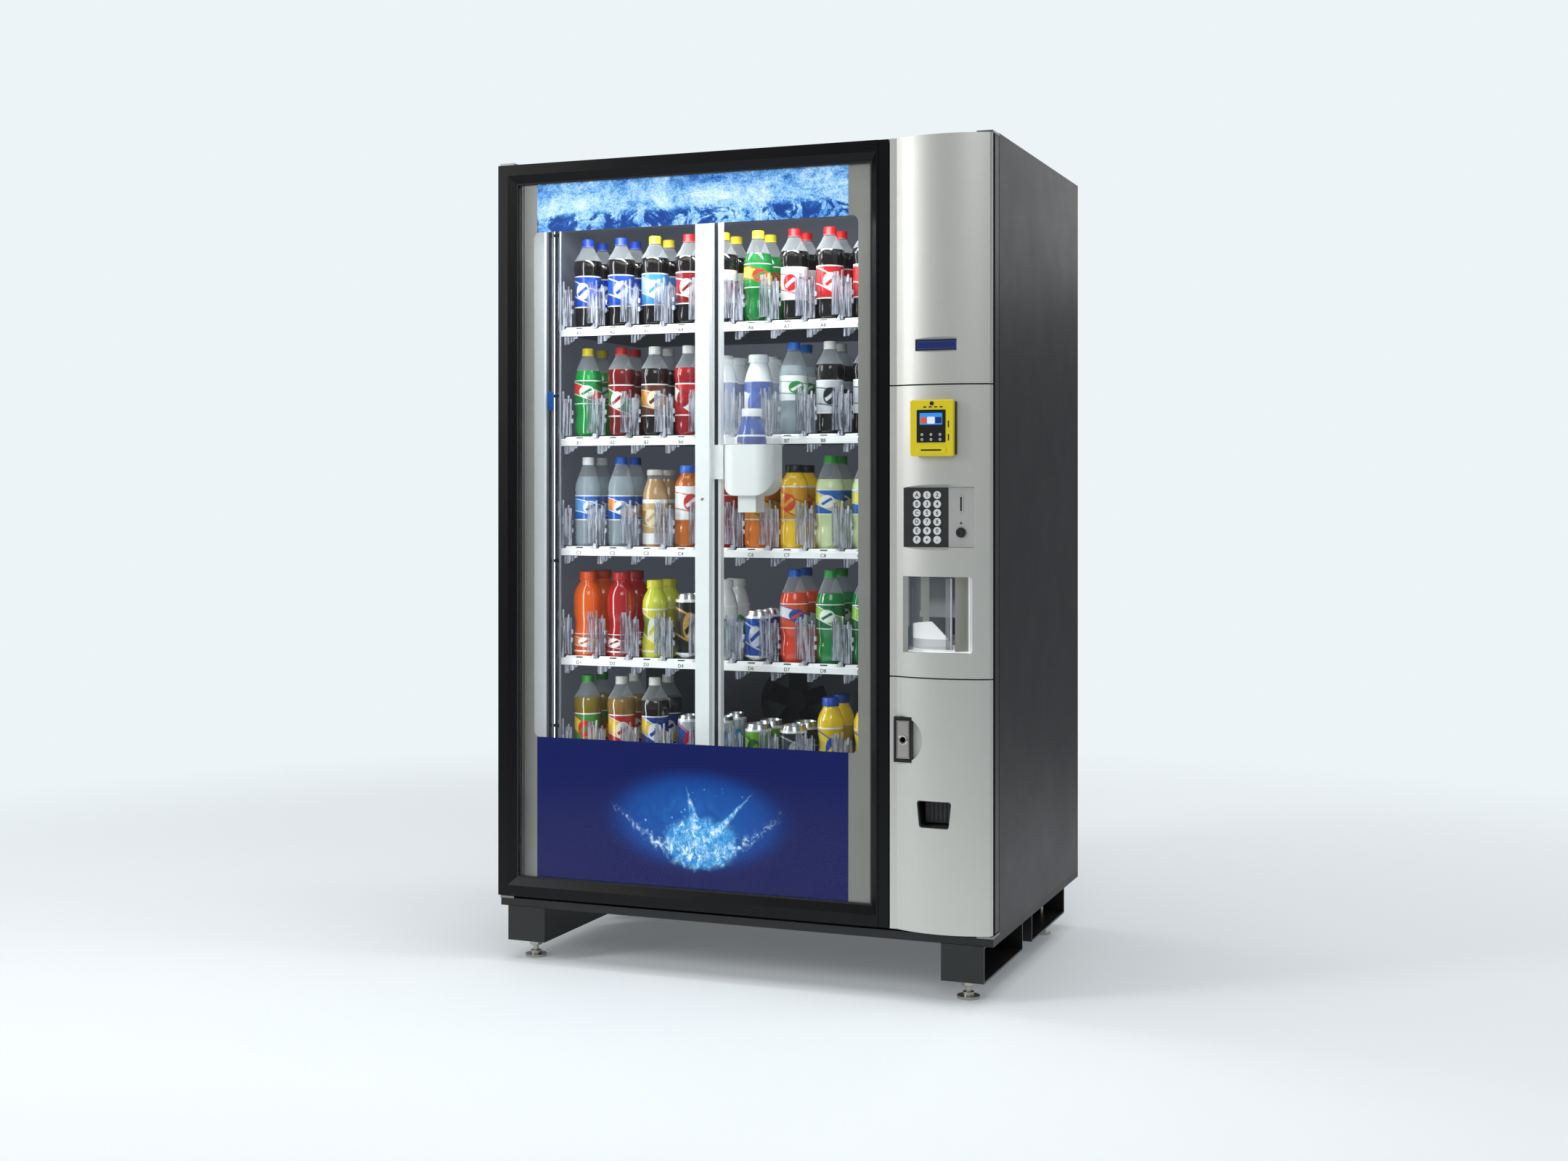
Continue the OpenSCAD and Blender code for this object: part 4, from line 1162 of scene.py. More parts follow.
    def finish(self, body: str, slot: str, finishes: Sequence[AnyFinish], bevel: float = 0.0,
               crease: float = 32.0, recalculate: bool = True) -> bpy.types.Object:
        """Makes the object.

        Args:
            body: the CAD body that it rides on.
            slot: the record's material slot; not used.
            finishes: its materials in order.
            bevel: width of the eased edges.
            crease: angle in degrees over which an edge stays sharp.
            recalculate: turn every shell's faces outwards.

        Returns:
            The piece.
        """
        if recalculate:
            bmesh.ops.recalc_face_normals(self.mesh, faces=self.mesh.faces)
        limit = math.radians(crease)
        for edge in self.mesh.edges:
            if len(edge.link_faces) != 2 or edge.calc_face_angle(math.pi) > limit:
                edge.smooth = False
        data = bpy.data.meshes.new(self.name)
        self.mesh.to_mesh(data)
        self.mesh.free()
        for entry in finishes:
            data.materials.append(entry.material())
        piece = bpy.data.objects.new(self.name, data)
        bpy.context.scene.collection.objects.link(piece)
        if bevel:
            eased = piece.modifiers.new("eased", "BEVEL")
            eased.width = bevel * MM
            eased.segments = 2
            eased.limit_method = "ANGLE"
            eased.angle_limit = math.radians(35)
            eased.harden_normals = False
        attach(piece, body)
        LOG.info("%s: %d faces on %s", self.name, len(data.polygons), body)
        return piece


def dress(node: str, finish: AnyFinish) -> None:
    """Gives a CAD node its finish.

    Args:
        node: the node's name.
        finish: the finish for all its slots.
    """
    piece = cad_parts[node]
    for holder in piece.material_slots:
        holder.material = finish.material()
    LOG.info("%s: dressed in %s", node, finish.name)


# ---- finishes of this machine

POWDER, TURNED = Skin.POWDER, Skin.TURNED
UP, ACROSS = Skin.BRUSHED_UP, Skin.BRUSHED_ACROSS

# Its glow is painted light on the pale lining inside the cold box.
CABINET_BLACK = LinedFinish("cabinet_powder_black", "131316", 0.42, skin=POWDER, fineness=620.0, relief=0.05,
                            specular=0.28, drift=0.12, wear=0.3, wear_colour="55555a", dust=0.05, glow=0.4)
BASE_BLACK = Finish("base_pan_black", "17171a", 0.5, skin=POWDER, fineness=560.0, drift=0.14, wear=0.35,
                    wear_colour="5a5a5c", dust=0.12)
LEG_BLACK = Finish("leg_enamel_black", "191b1b", 0.36, skin=POWDER, fineness=520.0, drift=0.16, wear=0.6,
                   wear_colour="77776f", dust=0.15)
ZINC = Finish("zinc_plated_steel", "b9b7ae", 0.34, metal=1.0, skin=TURNED, fineness=1400.0, relief=0.02,
              drift=0.2, drift_scale=30.0)
# Its glow is painted light inside the cold box.
LINER = Finish("liner_grey_enamel", "5c606b", 0.45, skin=POWDER, fineness=500.0, drift=0.1, glow=0.4)
TRAY = Finish("tray_drawn_steel", "6d7076", 0.4, metal=0.8, skin=UP, fineness=1000.0, drift=0.12, dust=0.2)
# Its glow is painted light on the rails and ramps.
RAIL_WHITE = Finish("price_rail_white", "f1f2f2", 0.32, coat=0.3, fineness=900.0, relief=0.02, drift=0.05,
                    dust=0.12, dust_colour="b9b5ac", glow=0.1)
CODE_INK = Finish("code_ink", "1c1d22", 0.5, relief=0.01)
TRACK = Finish("drawn_aluminium", "a4a7aa", 0.3, metal=1.0, skin=ACROSS, fineness=1200.0, drift=0.1)
LAMP = Finish("lamp_cover_opal", "e9edf1", 0.35, fineness=700.0, relief=0.03, drift=0.06, glow=0.3)
COOLING = Finish("cooling_black_steel", "2b2c2f", 0.4, metal=0.3, skin=POWDER, drift=0.25, dust=0.5)
DUCT = Finish("duct_grey_sheet", "7c8087", 0.42, metal=0.5, skin=UP, drift=0.1, dust=0.2)
BRACKET = Finish("hinge_plate_steel", "8d8f90", 0.36, metal=0.9, skin=ACROSS, fineness=900.0, drift=0.15,
                 wear=0.3, dust=0.2)
FAN_BLACK = Finish("fan_moulded_black", "1b1b1d", 0.45, drift=0.12, dust=0.4)
GASKET = Finish("gasket_rubber", "222226", 0.62, relief=0.03, drift=0.14, specular=0.35)
PAN_BLACK = Finish("door_pan_black", "161618", 0.4, skin=POWDER, drift=0.1, wear=0.25, wear_colour="5a5a5c")
COVER = CoverFinish("cover_champagne", "d0d1cb", 0.42, metal=0.5, coat=0.15, fineness=1400.0, relief=0.015,
                    drift=0.035, drift_scale=2.0, gloss_play=0.06)
READER_YELLOW = Finish("reader_yellow", "f1dc1c", 0.36, coat=0.2, fineness=900.0, relief=0.02, drift=0.05,
                       wear=0.2, wear_colour="fff27a", wear_radius=0.8)
READER_BLACK = Finish("reader_black", "141416", 0.22, coat=0.5, relief=0.01, drift=0.1)
READER_ICON = Finish("reader_icon_white", "d8dce2", 0.4, relief=0.01, glow=0.4)
READER_BLUE = Finish("reader_icon_blue", "2b86d8", 0.3, relief=0.01, glow=0.5)
READER_RED = Finish("reader_icon_red", "d4502e", 0.3, relief=0.01, glow=0.4)
READER_DARK = Finish("reader_icon_dark", "1c2f66", 0.3, glow=0.2)
KEYPAD_DARK = Finish("keypad_charcoal", "2f2f30", 0.4, relief=0.03, drift=0.1, wear=0.2, wear_radius=0.8)
PLATE_SILVER = Finish("coin_plate_silver", "bfc0bc", 0.4, metal=0.3, fineness=1300.0, relief=0.02, drift=0.06,
                      wear=0.15, wear_colour="d9d9d6", wear_radius=0.8)
KEY_WHITE = Finish("key_white", "e9eaea", 0.3, coat=0.35, relief=0.015, drift=0.05, drift_scale=40.0)
KEY_INK = Finish("key_ink", "242428", 0.45, relief=0.01)
# Dark fill: painted shade in the coin slot, the keyway and behind the port; also the dark ring round the lock
# cylinder.
SLOT_DARK = Finish("slot_dark", "08080a", 0.6, relief=0.01)
LOCK_BLACK = Finish("lock_black", "121214", 0.4, relief=0.04, drift=0.1, wear=0.3, wear_radius=0.8)
NICKEL = Finish("lock_knurled_nickel", "cfccc4", 0.3, metal=1.0, skin=POWDER, fineness=700.0, relief=0.25,
                drift=0.12, drift_scale=40.0, wear=0.2, wear_colour="f2efe8", wear_radius=0.6)
NICKEL_TURNED = Finish("turned_nickel", "bdbab2", 0.24, metal=1.0, skin=TURNED, fineness=1600.0, relief=0.02)
KNOB = Finish("knob_dark_nickel", "4e4f52", 0.26, metal=0.9, skin=TURNED, fineness=1500.0, relief=0.02)
RETURN_BLACK = Finish("return_cup_black", "131315", 0.36, relief=0.03, drift=0.12, dust=0.3)
FLAP_DARK = Finish("return_flap_dark", "2c2d30", 0.3, relief=0.03, drift=0.1)
CHANGER = Finish("changer_grey", "5f6268", 0.42, relief=0.03, drift=0.12, dust=0.3)
# The glows of the bowl, the port wall and the port sheet are painted light in the port.
BUCKET = Finish("bucket_white", "e8ebec", 0.36, fineness=700.0, relief=0.03, drift=0.06, dust=0.1, glow=0.5)
PORT_BEIGE = Finish("port_wall_beige", "85867f", 0.4, relief=0.03, drift=0.1, glow=0.4)
PORT_GREY = PortSheetFinish("port_sheet_grey", "3a3d45", 0.4, relief=0.03, drift=0.12, drift_scale=9.0,
                            glow=0.45)
# The glows of the lift column and the cup are painted light.
COLUMN = Finish("column_white_enamel", "eceeef", 0.3, coat=0.3, skin=POWDER, fineness=420.0, relief=0.02,
                drift=0.04, glow=0.12)
CUP_WHITE = Finish("cup_moulded_white", "e6e7e6", 0.38, fineness=600.0, relief=0.03, drift=0.05, glow=0.05)
TRIM_DARK = Finish("trim_dark_plastic", "2a2d33", 0.4, relief=0.03, drift=0.1)
TRIM_LIGHT = Finish("trim_light_plastic", "a4adba", 0.35, relief=0.03, drift=0.08)
CLIP_BLUE = Finish("clip_blue", "1d6fc4", 0.35, relief=0.02)
BORDER = BorderFinish("glass_border_print", "7f7e78", 0.32, coat=0.3, relief=0.01, drift=0.05)
HEADER_ART = IceFinish("header_picture_print", "6ba6df", 0.4, fineness=4000.0, relief=0.002, drift=0.0,
                       glow=0.22, specular=0.1)
LOWER_ART = SplashFinish("lower_picture_print", "101a57", 0.6, fineness=4000.0, relief=0.002, drift=0.03,
                         glow=0.14, specular=0.05)
PANE = PaneFinish("door_glass")
# The gates' ridge shading and glow are painted light and shade.
GATE_CLEAR = ClearFinish("gate_clear", "dfe2ec", 0.3, 0.4, ridge_shading=0.3, rough=0.1, glow=0.04, shade="7d8192")
SHIELD_CLEAR = ClearFinish("shield_clear", "e6edf2", 0.07, 0.5, rough=0.05)
DRUM_CLEAR = ClearFinish("drum_clear", "dfe7ea", 0.06, 0.5, rough=0.05)
CAN_METAL = Finish("can_aluminium", "c9cbce", 0.24, metal=1.0, skin=TURNED, fineness=1500.0, relief=0.01)
HEADSPACE = ClearFinish("bottle_clear", "dfe6ea", 0.16, 0.6, rough=0.04)
WATER_BODY = ClearFinish("bottle_water", "c3d3dc", 0.42, 0.5, rough=0.04)


# ---- studio

@dataclass
class Studio:
    """Pale floor, soft lamps and the camera."""

    floor_radius: float = 14.0
    lens: float = 44.3
    camera_at: Point3 = (1.669, -4.381, 1.095)
    camera_turn: float = 21.2
    shift_up: float = -0.056

    def build(self) -> None:
        """Makes the stage, the lamps, the sky and the camera."""
        self.floor()
        self.sky()
        self.lamps()
        data = bpy.data.cameras.new("camera")
        data.lens, data.sensor_width, data.shift_y = self.lens, 36.0, self.shift_up
        data.clip_start, data.clip_end = 0.05, 100.0
        camera = bpy.data.objects.new("camera", data)
        camera.location = self.camera_at
        camera.rotation_euler = (math.radians(90), 0.0, math.radians(self.camera_turn))
        bpy.context.scene.collection.objects.link(camera)
        bpy.context.scene.camera = camera
        bpy.context.scene.view_settings.view_transform = "Standard"
        bpy.context.scene.view_settings.look = "None"

    def floor(self) -> None:
        """Makes a round floor that fades out towards its rim."""
        mesh = bmesh.new()
        bmesh.ops.create_circle(mesh, cap_ends=True, segments=96, radius=self.floor_radius)
        data = bpy.data.meshes.new("floor")
        mesh.to_mesh(data)
        mesh.free()
        work = Material("floor_pale", Roughness=0.8, Specular_IOR_Level=0.1)
        x, y, _ = work.parts(work.where)
        grain = work.noise(work.where, 40.0, 5.0, 0.6)
        work.feed(Base_Color=work.mix(grain * 0.03, rgb("f3f7f9"), rgb("dfe5e8")),
                  Alpha=x.hypot(y).ramp(3.9, 1.7), Emission_Color=rgb("edf4f7"), Emission_Strength=0.14)
        data.materials.append(work.done())
        ground = bpy.data.objects.new("floor", data)
        bpy.context.scene.collection.objects.link(ground)

    def sky(self) -> None:
        """Makes a pale backdrop for the camera and a dimmer one that lights the object."""
        world = bpy.data.worlds.new("studio")
        bpy.context.scene.world = world
        world.use_nodes = True
        tree = world.node_tree
        tree.nodes.clear()
        bench = Bench(tree)
        seen = bench.node("Background", {"Color": rgb("edf4f7"), "Strength": 1.0})
        lights = bench.node("Background", {"Color": rgb("e2e8ee"), "Strength": 0.3})
        path = bench.node("LightPath")
        mixer = bench.node("MixShader", {0: bench.out(path, "Is Camera Ray")})
        tree.links.new(lights.outputs[0], mixer.inputs[1])
        tree.links.new(seen.outputs[0], mixer.inputs[2])
        exit_node = bench.node("OutputWorld")
        tree.links.new(mixer.outputs[0], exit_node.inputs["Surface"])

    def lamps(self) -> None:
        """Hangs the studio's lamps and the cabinet's own."""
        self.lamp("key", (-3.6, -3.6, 2.6), (0.1, -0.2, 1.0), (1.2, 2.6), 85.0)
        self.lamp("fill", (2.4, -5.2, 3.6), (0.0, -0.3, 1.0), (2.4, 1.6), 40.0)
        self.lamp("top", (0.0, -0.3, 4.6), (0.0, 0.0, 0.0), (4.4, 3.4), 105.0)
        self.lamp("side", (4.2, 1.8, 2.2), (0.5, 0.2, 1.0), (1.0, 2.6), 12.0)
        self.lamp("back", (0.5, 4.6, 3.0), (0.0, 0.4, 0.8), (2.4, 2.0), 36.0)
        self.lamp("header", tuple(at(-110, 96, 1798)), tuple(at(-110, 260, 900)), (0.74, 0.05), 5.0)
        self.lamp("left_tube", tuple(at(-500, 96, 1080)), tuple(at(0, 300, 1080)), (0.04, 1.3), 1.6)

    def lamp(self, name: str, place: Point3, target: Point3, size: Point2, watts: float) -> None:
        """Makes one area lamp.

        Args:
            name: its name.
            place: where it hangs, in metres.
            target: what it looks at.
            size: width and height.
            watts: its power.
        """
        data = bpy.data.lights.new(name, "AREA")
        data.shape, data.size, data.size_y, data.energy = "RECTANGLE", size[0], size[1], watts
        lamp = bpy.data.objects.new(name, data)
        lamp.location = place
        lamp.rotation_euler = (Vector(target) - Vector(place)).to_track_quat("-Z", "Y").to_euler()
        bpy.context.scene.collection.objects.link(lamp)


# ---- cabinet

SCREW_HEAD: tuple[Point2, ...] = ((4.2, 0.0), (4.2, 0.8), (3.4, 1.7), (1.9, 2.1), (1.6, 1.2), (0.0, 1.2))


@dataclass
class Cabinet:
    """The walls, the base, the legs and their fasteners."""

    screw_inset: float = 12.0
    screws_up: int = 7
    nut_radius: float = 15.0
    nut_low: float = 27.0
    nut_high: float = 37.0
    foot_x: float = 529.0
    foot_depths: Point2 = (60.0, 720.0)
    flange_screws: int = 5
    end_gap: float = 30.0

    def build(self) -> None:
        """Dresses the CAD nodes and adds the fasteners."""
        for node, finish in (("side_walls", CABINET_BLACK), ("roof_wall", CABINET_BLACK),
                             ("rear_wall", CABINET_BLACK), ("insulated_floor", LINER),
                             ("compartment_divider", LINER), ("base_frame", BASE_BLACK),
                             ("legs", LEG_BLACK), ("levelling_feet", ZINC), ("hinge_brackets", BRACKET),
                             ("cooling_unit", COOLING), ("evaporator_housing", DUCT),
                             ("evaporator_fan", FAN_BLACK), ("gantry_rails", TRACK)):
            dress(node, finish)
        self.fasteners()
        self.foot_nuts()

    def fasteners(self) -> None:
        """Adds the pan-head screws of the rear panel and the roof's rear flange."""
        wall = Extent.of("rear_wall")
        sketch = Sketch("rear_screws")
        for side in (wall.x0 + self.screw_inset, wall.x1 - self.screw_inset):
            for k in range(self.screws_up):
                z = wall.z0 + self.end_gap + (wall.z1 - wall.z0 - 2 * self.end_gap) * k / (self.screws_up - 1)
                sketch.turned((side, wall.d1, z), SCREW_HEAD, 20, facing=Facing.BACK)
        for k in range(1, self.flange_screws + 1):
            x = wall.x0 + (wall.x1 - wall.x0) * k / (self.flange_screws + 1)
            sketch.turned((x, wall.d1, wall.z1 - self.screw_inset), SCREW_HEAD, 20, facing=Facing.BACK)
        sketch.finish("root", "foot_steel", [ZINC])

    def foot_nuts(self) -> None:
        """Adds a lock nut and washer over each levelling foot."""
        feet = Extent.of("levelling_feet")
        sketch = Sketch("foot_lock_nuts")
        for x in (-self.foot_x, self.foot_x):
            for d in self.foot_depths:
                hexagon = [(x + self.nut_radius * math.cos(math.radians(60 * k + 15)),
                            d + self.nut_radius * math.sin(math.radians(60 * k + 15))) for k in range(6)]
                sketch.prism(hexagon, Plane.PLAN, feet.z0 + self.nut_low, feet.z0 + self.nut_high, ease=0.8)
                sketch.turned((x, d, feet.z0 + self.nut_high), ((9, 0), (17, 0), (17, 2), (9, 2)), 32)
        sketch.finish("root", "foot_steel", [ZINC])


@dataclass
class LampTrims:
    """The lamp covers and the trims beside the left one."""

    trim_x: float = -509.0
    front: float = 77.0
    back: float = 83.0
    foot_z: float = 395.0
    head_z: float = 1768.0
    tie_heights: tuple[float, ...] = (540, 930, 1320, 1700)

    def build(self) -> None:
        """Dresses the covers and adds the upright trims and the clip."""
        dress("light_bars", LAMP)
        trims = Sketch("lamp_trims")
        x = self.trim_x
        for start, wide, slot in ((x + 5, 5, 0), (x + 14, 3.4, 1), (x + 21.6, 6, 0), (x + 33, 2.6, 1)):
            outline = [(start, self.front), (start + wide, self.front), (start + wide, self.back),
                       (start, self.back)]
            trims.prism(outline, Plane.PLAN, self.foot_z, self.head_z, slot)
        for z in self.tie_heights:
            trims.block(x + 5, x + 35, self.back - 3, self.back, z, z + 8, 0)
        trims.finish("root", "lamp_white", [TRIM_DARK, TRIM_LIGHT], bevel=0.6)
        clip = Sketch("trim_clip")
        clip.tile((x + 5, x + 20, 1290, 1334, 3), 70.5, 76.5, ease=1.0)
        clip.block(x + 8, x + 17, 67, 71, 1298, 1303)
        clip.finish("root", "print_grey", [CLIP_BLUE], bevel=0.5)


# ---- shelves

GATE_POST = ((2.0, 0), (3.4, 1), (3.4, 20), (2.6, 21), (2.6, 58), (3.4, 59), (3.4, 76), (2.6, 77),
             (2.6, 114), (1.2, 116))


@dataclass
class Shelves:
    """The trays, their price rails and the clear gates."""

    rail_front: float = 198.0
    gate_d: float = 200.0
    ridge: float = 4.6
    wall: float = 1.5
    code_drop: float = 10.5
    code_size: float = 12.0
    half_ramp: float = 38.0
    # Half the width of the painted shadow line on each ramp.
    half_shadow_line: float = 9.0

    def build(self) -> None:
        """Dresses the trays and rails, letters the rails and makes the gates."""
        dress("shelf_trays", TRAY)
        dress("price_rails", RAIL_WHITE)
        for letter, top in zip(SHELF_LETTERS, SHELF_TOPS):
            self.codes(letter, top)
            self.ramps(letter, top)
            self.gates(letter, top)

    def codes(self, letter: str, top: float) -> None:
        """Letters one rail.

        Args:
            letter: of the shelf.
            top: of the shelf.
        """
        sketch = Sketch(f"codes_{letter.lower()}")
        for lane in range(LANES):
            x = lane_x(lane + 0.5)
            sketch.letters(f"{letter}{lane + 1}", x, self.rail_front, top - self.code_drop,
                           self.code_size, thick=0.4)
        sketch.finish("root", "print_grey", [CODE_INK], recalculate=False)

    def ramps(self, letter: str, top: float) -> None:
        """Makes the white ramps over one rail, one to a lane, each with a dark sliver of painted shadow.

        Args:
            letter: of the shelf.
            top: of the shelf.
        """
        sketch = Sketch(f"ramps_{letter.lower()}")
        for lane in range(LANES):
            x = lane_x(lane + 0.5)
            ramp = [(198.4, top), (206.5, top + 5.4), (212, top + 5.4), (212, top)]
            # A dark sliver on each ramp: painted shadow line.
            mark = [(199.4, top + 0.9), (203, top + 3.3), (203, top + 3.7), (199.2, top + 1.3)]
            sketch.prism(ramp, Plane.SIDE, x - self.half_ramp, x + self.half_ramp)
            sketch.prism(mark, Plane.SIDE, x - self.half_shadow_line, x + self.half_shadow_line, 1)
        sketch.finish("root", "rail_white", [RAIL_WHITE, TRIM_DARK], bevel=0.3)

    def comb(self, x0: float, x1: float, d: float, ridges: int) -> list[Point2]:
        """Draws a folded strip in plan.

        Args:
            x0: left end.
            x1: right end.
            d: its front.
            ridges: number of folds.

        Returns:
            The closed outline.
        """
        step = (x1 - x0) / (2 * ridges)
        front = [(x0 + k * step, d + (self.ridge if k % 2 else 0.0)) for k in range(2 * ridges + 1)]
        return front + [(x, y + self.wall) for x, y in reversed(front)]

    def gates(self, letter: str, top: float) -> None:
        """Makes the clear gates on one shelf and the fingers under its rail.

        Args:
            letter: of the shelf.
            top: of the shelf.
        """
        sketch = Sketch(f"gates_{letter.lower()}")
        d = self.gate_d
        for lane in range(LANES + 1):
            x = lane_x(lane)
            sketch.prism(self.comb(x - 25, x - 3, d, 4), Plane.PLAN, top + 14, top + 104)
            sketch.prism(self.comb(x + 3, x + 23, d + 2, 3), Plane.PLAN, top + 8, top + 97)
            sketch.prism(self.comb(x - 21, x - 8, d - 2, 2), Plane.PLAN, top + 100, top + 113)
            sketch.turned((x, d + 3, top + 1), GATE_POST, 12)
            foot = [(x - 15, top + 1), (x + 3, top + 1), (x + 3, top + 10), (x - 4, top + 13),
                    (x - 9, top + 6)]
            sketch.prism(foot, Plane.FRONT, d - 6, d - 2)
            hook = [(x + 12, top + 88), (x + 17, top + 88), (x + 18, top + 103), (x + 15, top + 106),
                    (x + 13, top + 100)]
            sketch.prism(hook, Plane.FRONT, d - 1, d + 2.5)
            for z in (38, 58):
                sketch.tile((x + 22, x + 28, top + z, top + z + 11, 1), d, d + 3, steps=2)
            if lane < LANES:
                self.finger(sketch, x + 4, top - 18)
        piece = sketch.finish("root", "gate_clear", [GATE_CLEAR])
        if letter == "A":
            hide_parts("dispensing_gates")

    def finger(self, sketch: Sketch, x: float, top: float) -> None:
        """Adds one stepped clear finger under a rail.

        Args:
            sketch: the gates' sketch.
            x: its left end.
            top: the rail's lower edge.
        """
        d = self.gate_d + 1
        outline = [(x, top), (x + 36, top), (x + 35, top - 4), (x + 27, top - 6), (x + 24, top - 12),
                   (x + 15, top - 14), (x + 13, top - 19), (x, top - 19)]
        sketch.prism(outline, Plane.FRONT, d, d + 1.6)
        for k, low in enumerate((19, 18, 12, 6)):
            sketch.block(x + 3 + 8 * k, x + 4.6 + 8 * k, d - 5, d, top - low, top - 0.5)


# ---- drinks

@dataclass(frozen=True)
class Form:
    """A bottle or can as a turned profile, its sleeve, its fill level and its cap."""

    profile: tuple[Point2, ...]
    sleeve: Point2
    fill: float = 158.0
    cap: Optional[Point3] = (14.6, 202.0, 221.0)
    petals: float = 0.0


NECK = ((15.5, 199.0), (13.4, 201.0), (15.8, 202.4), (15.8, 203.8), (12.6, 204.4), (12.6, 207.0))


def can_form(top: float) -> Form:
    """Returns a can whose rim stands at this height."""
    return Form(((0, 7), (19, 7), (23, 1), (26.6, 0.4), (29, 3.6), (32.6, 13), (33, 16), (33, top - 20),
                 (31.6, top - 12), (28, top - 3), (27.6, top), (26.2, top), (25.2, top - 5), (0, top - 5)),
                (14, top - 14), 200, None)


class Shape(Enum):
    """The forms of the drinks."""

    COLA = Form(((0, 5), (12, 3), (24, 0.5), (29.5, 5), (31.6, 12), (32.4, 24), (31.4, 36), (31, 45),
                 (32.6, 52), (32.6, 90), (32.6, 130), (33.2, 136), (35, 146), (35.2, 156), (33, 167),
                 (27.6, 177), (20.5, 188)) + NECK, (52, 130), 172, petals=0.05)
    WATER = Form(((0, 5), (12, 3), (24, 0.5), (31, 6), (32.6, 14), (30.8, 20), (32.6, 26), (30.8, 32),
                  (32.6, 38), (30.8, 44), (32.6, 50), (31.8, 58), (32.8, 68), (32.8, 98), (32.8, 128),
                  (31, 134), (32.6, 142), (30.4, 157), (24.5, 174), (18, 190)) + NECK, (68, 128), 170,
                 petals=0.04)
    ROUND = Form(((0, 5), (12, 3), (24, 0.5), (30, 6), (33, 18), (34, 32), (31.6, 48), (29.8, 60),
                  (31.8, 72), (34, 84), (34.4, 112), (34, 142), (33.4, 150), (29, 166), (21.5, 184)) + NECK,
                 (84, 142), 168, petals=0.05)
    SPORTS = Form(((0, 3), (26, 0.5), (33, 5), (35, 14), (35, 58), (32.6, 66), (30.8, 80), (32.4, 94),
                   (35.4, 106), (35.4, 148), (32, 164), (25, 176), (20, 182), (18.6, 186), (18.6, 190)),
                  (16, 58), 172, (21.0, 188, 208))
    COFFEE = Form(((0, 2), (24, 0), (29.4, 3), (31, 11), (31, 60), (31, 118), (29.4, 136), (23, 156),
                   (18.6, 168), (18.2, 178)), (34, 112), 172, (19.6, 177, 190))
    JUICE = Form(((0, 3), (26, 0.5), (31, 5), (33, 14), (33, 54), (30.8, 62), (33, 70), (33, 110),
                  (33, 150), (30.2, 163), (24, 172), (20, 178), (19, 184)), (70, 150), 168, (20.8, 182, 200))
    MILK = Form(((0, 2), (26, 0.5), (32, 5), (34.4, 16), (34.4, 66), (34.4, 122), (33, 134), (29, 151),
                 (25, 163), (22, 170), (21, 178)), (16, 134), 176, (23.4, 176, 194))
    KID = Form(((0, 2), (24, 0.5), (30, 5), (32, 18), (31.4, 44), (27, 70), (26, 86), (29, 104),
                (31, 122), (30, 140), (25, 154), (19, 164), (17, 172)), (18, 122), 168, (19.4, 170, 190))
    CAN = can_form(122)
    TALL_CAN = can_form(158)
    SLIM = Form(((0, 6), (15, 6), (19, 1), (21.6, 0.4), (23.6, 3), (26.2, 12), (26.5, 14), (26.5, 118),
                 (25, 126), (22.6, 132), (22.2, 134.6), (21, 134.6), (20, 130), (0, 130)), (12, 124),
                200, None)


@dataclass(frozen=True)
class Drink:
    """One kind of drink: its form, what fills it, its cap and its sleeve's colours."""

    shape: Shape
    filling: str
    cap: str
    ground: str
    band: str
    mark: str
    wave: float
    # glow: painted light in the filling.
    glow: float = 0.0

    def finishes(self) -> list[AnyFinish]:
        """Returns the finishes of the filled part, headspace, sleeve and cap."""
        form = self.shape.value
        if form.cap is None:
            body: AnyFinish = CAN_METAL
            head: AnyFinish = CAN_METAL
        elif self.filling == "water":
            body, head = WATER_BODY, HEADSPACE
        else:
            # The filling's glow is painted light.
            body = Finish("filling_" + self.filling, self.filling, 0.1, coat=1.0, fineness=90.0, relief=0.05,
                          drift=0.1, drift_scale=9.0, glow=self.glow)
            solid = self.shape in (Shape.MILK, Shape.KID, Shape.SPORTS, Shape.JUICE)
            green = self.ground == self.filling
            head = body if solid or green else HEADSPACE
        name = f"sleeve_{self.ground}_{self.band}_{self.mark}_{int(self.wave * 100)}"
        sleeve = LabelFinish(name, self.ground, 0.28, metal=0.35 if form.cap is None else 0.0, coat=0.5,
                             relief=0.01, drift=0.05, drift_scale=20.0, band=self.band, mark=self.mark,
                             wave=self.wave)
        cap = Finish("cap_" + self.cap, self.cap, 0.38, fineness=600.0, relief=0.02, drift=0.06)
        return [body, head, sleeve, cap]


def lane_drinks(rows: str) -> list[Drink]:
    """Reads a shelf's drinks.

    Args:
        rows: on each row the number of lanes, the shape, the colours of filling, cap, ground, band
            and mark, and the band's wave and the filling's glow.

    Returns:
        One drink to a lane.
    """
    drinks: list[Drink] = []
    for row in rows.strip().splitlines():
        lanes, shape, *codes, wave, glow = row.split()
        drinks += [Drink(Shape[shape], *codes, wave=float(wave), glow=float(glow))] * int(lanes)
    return drinks


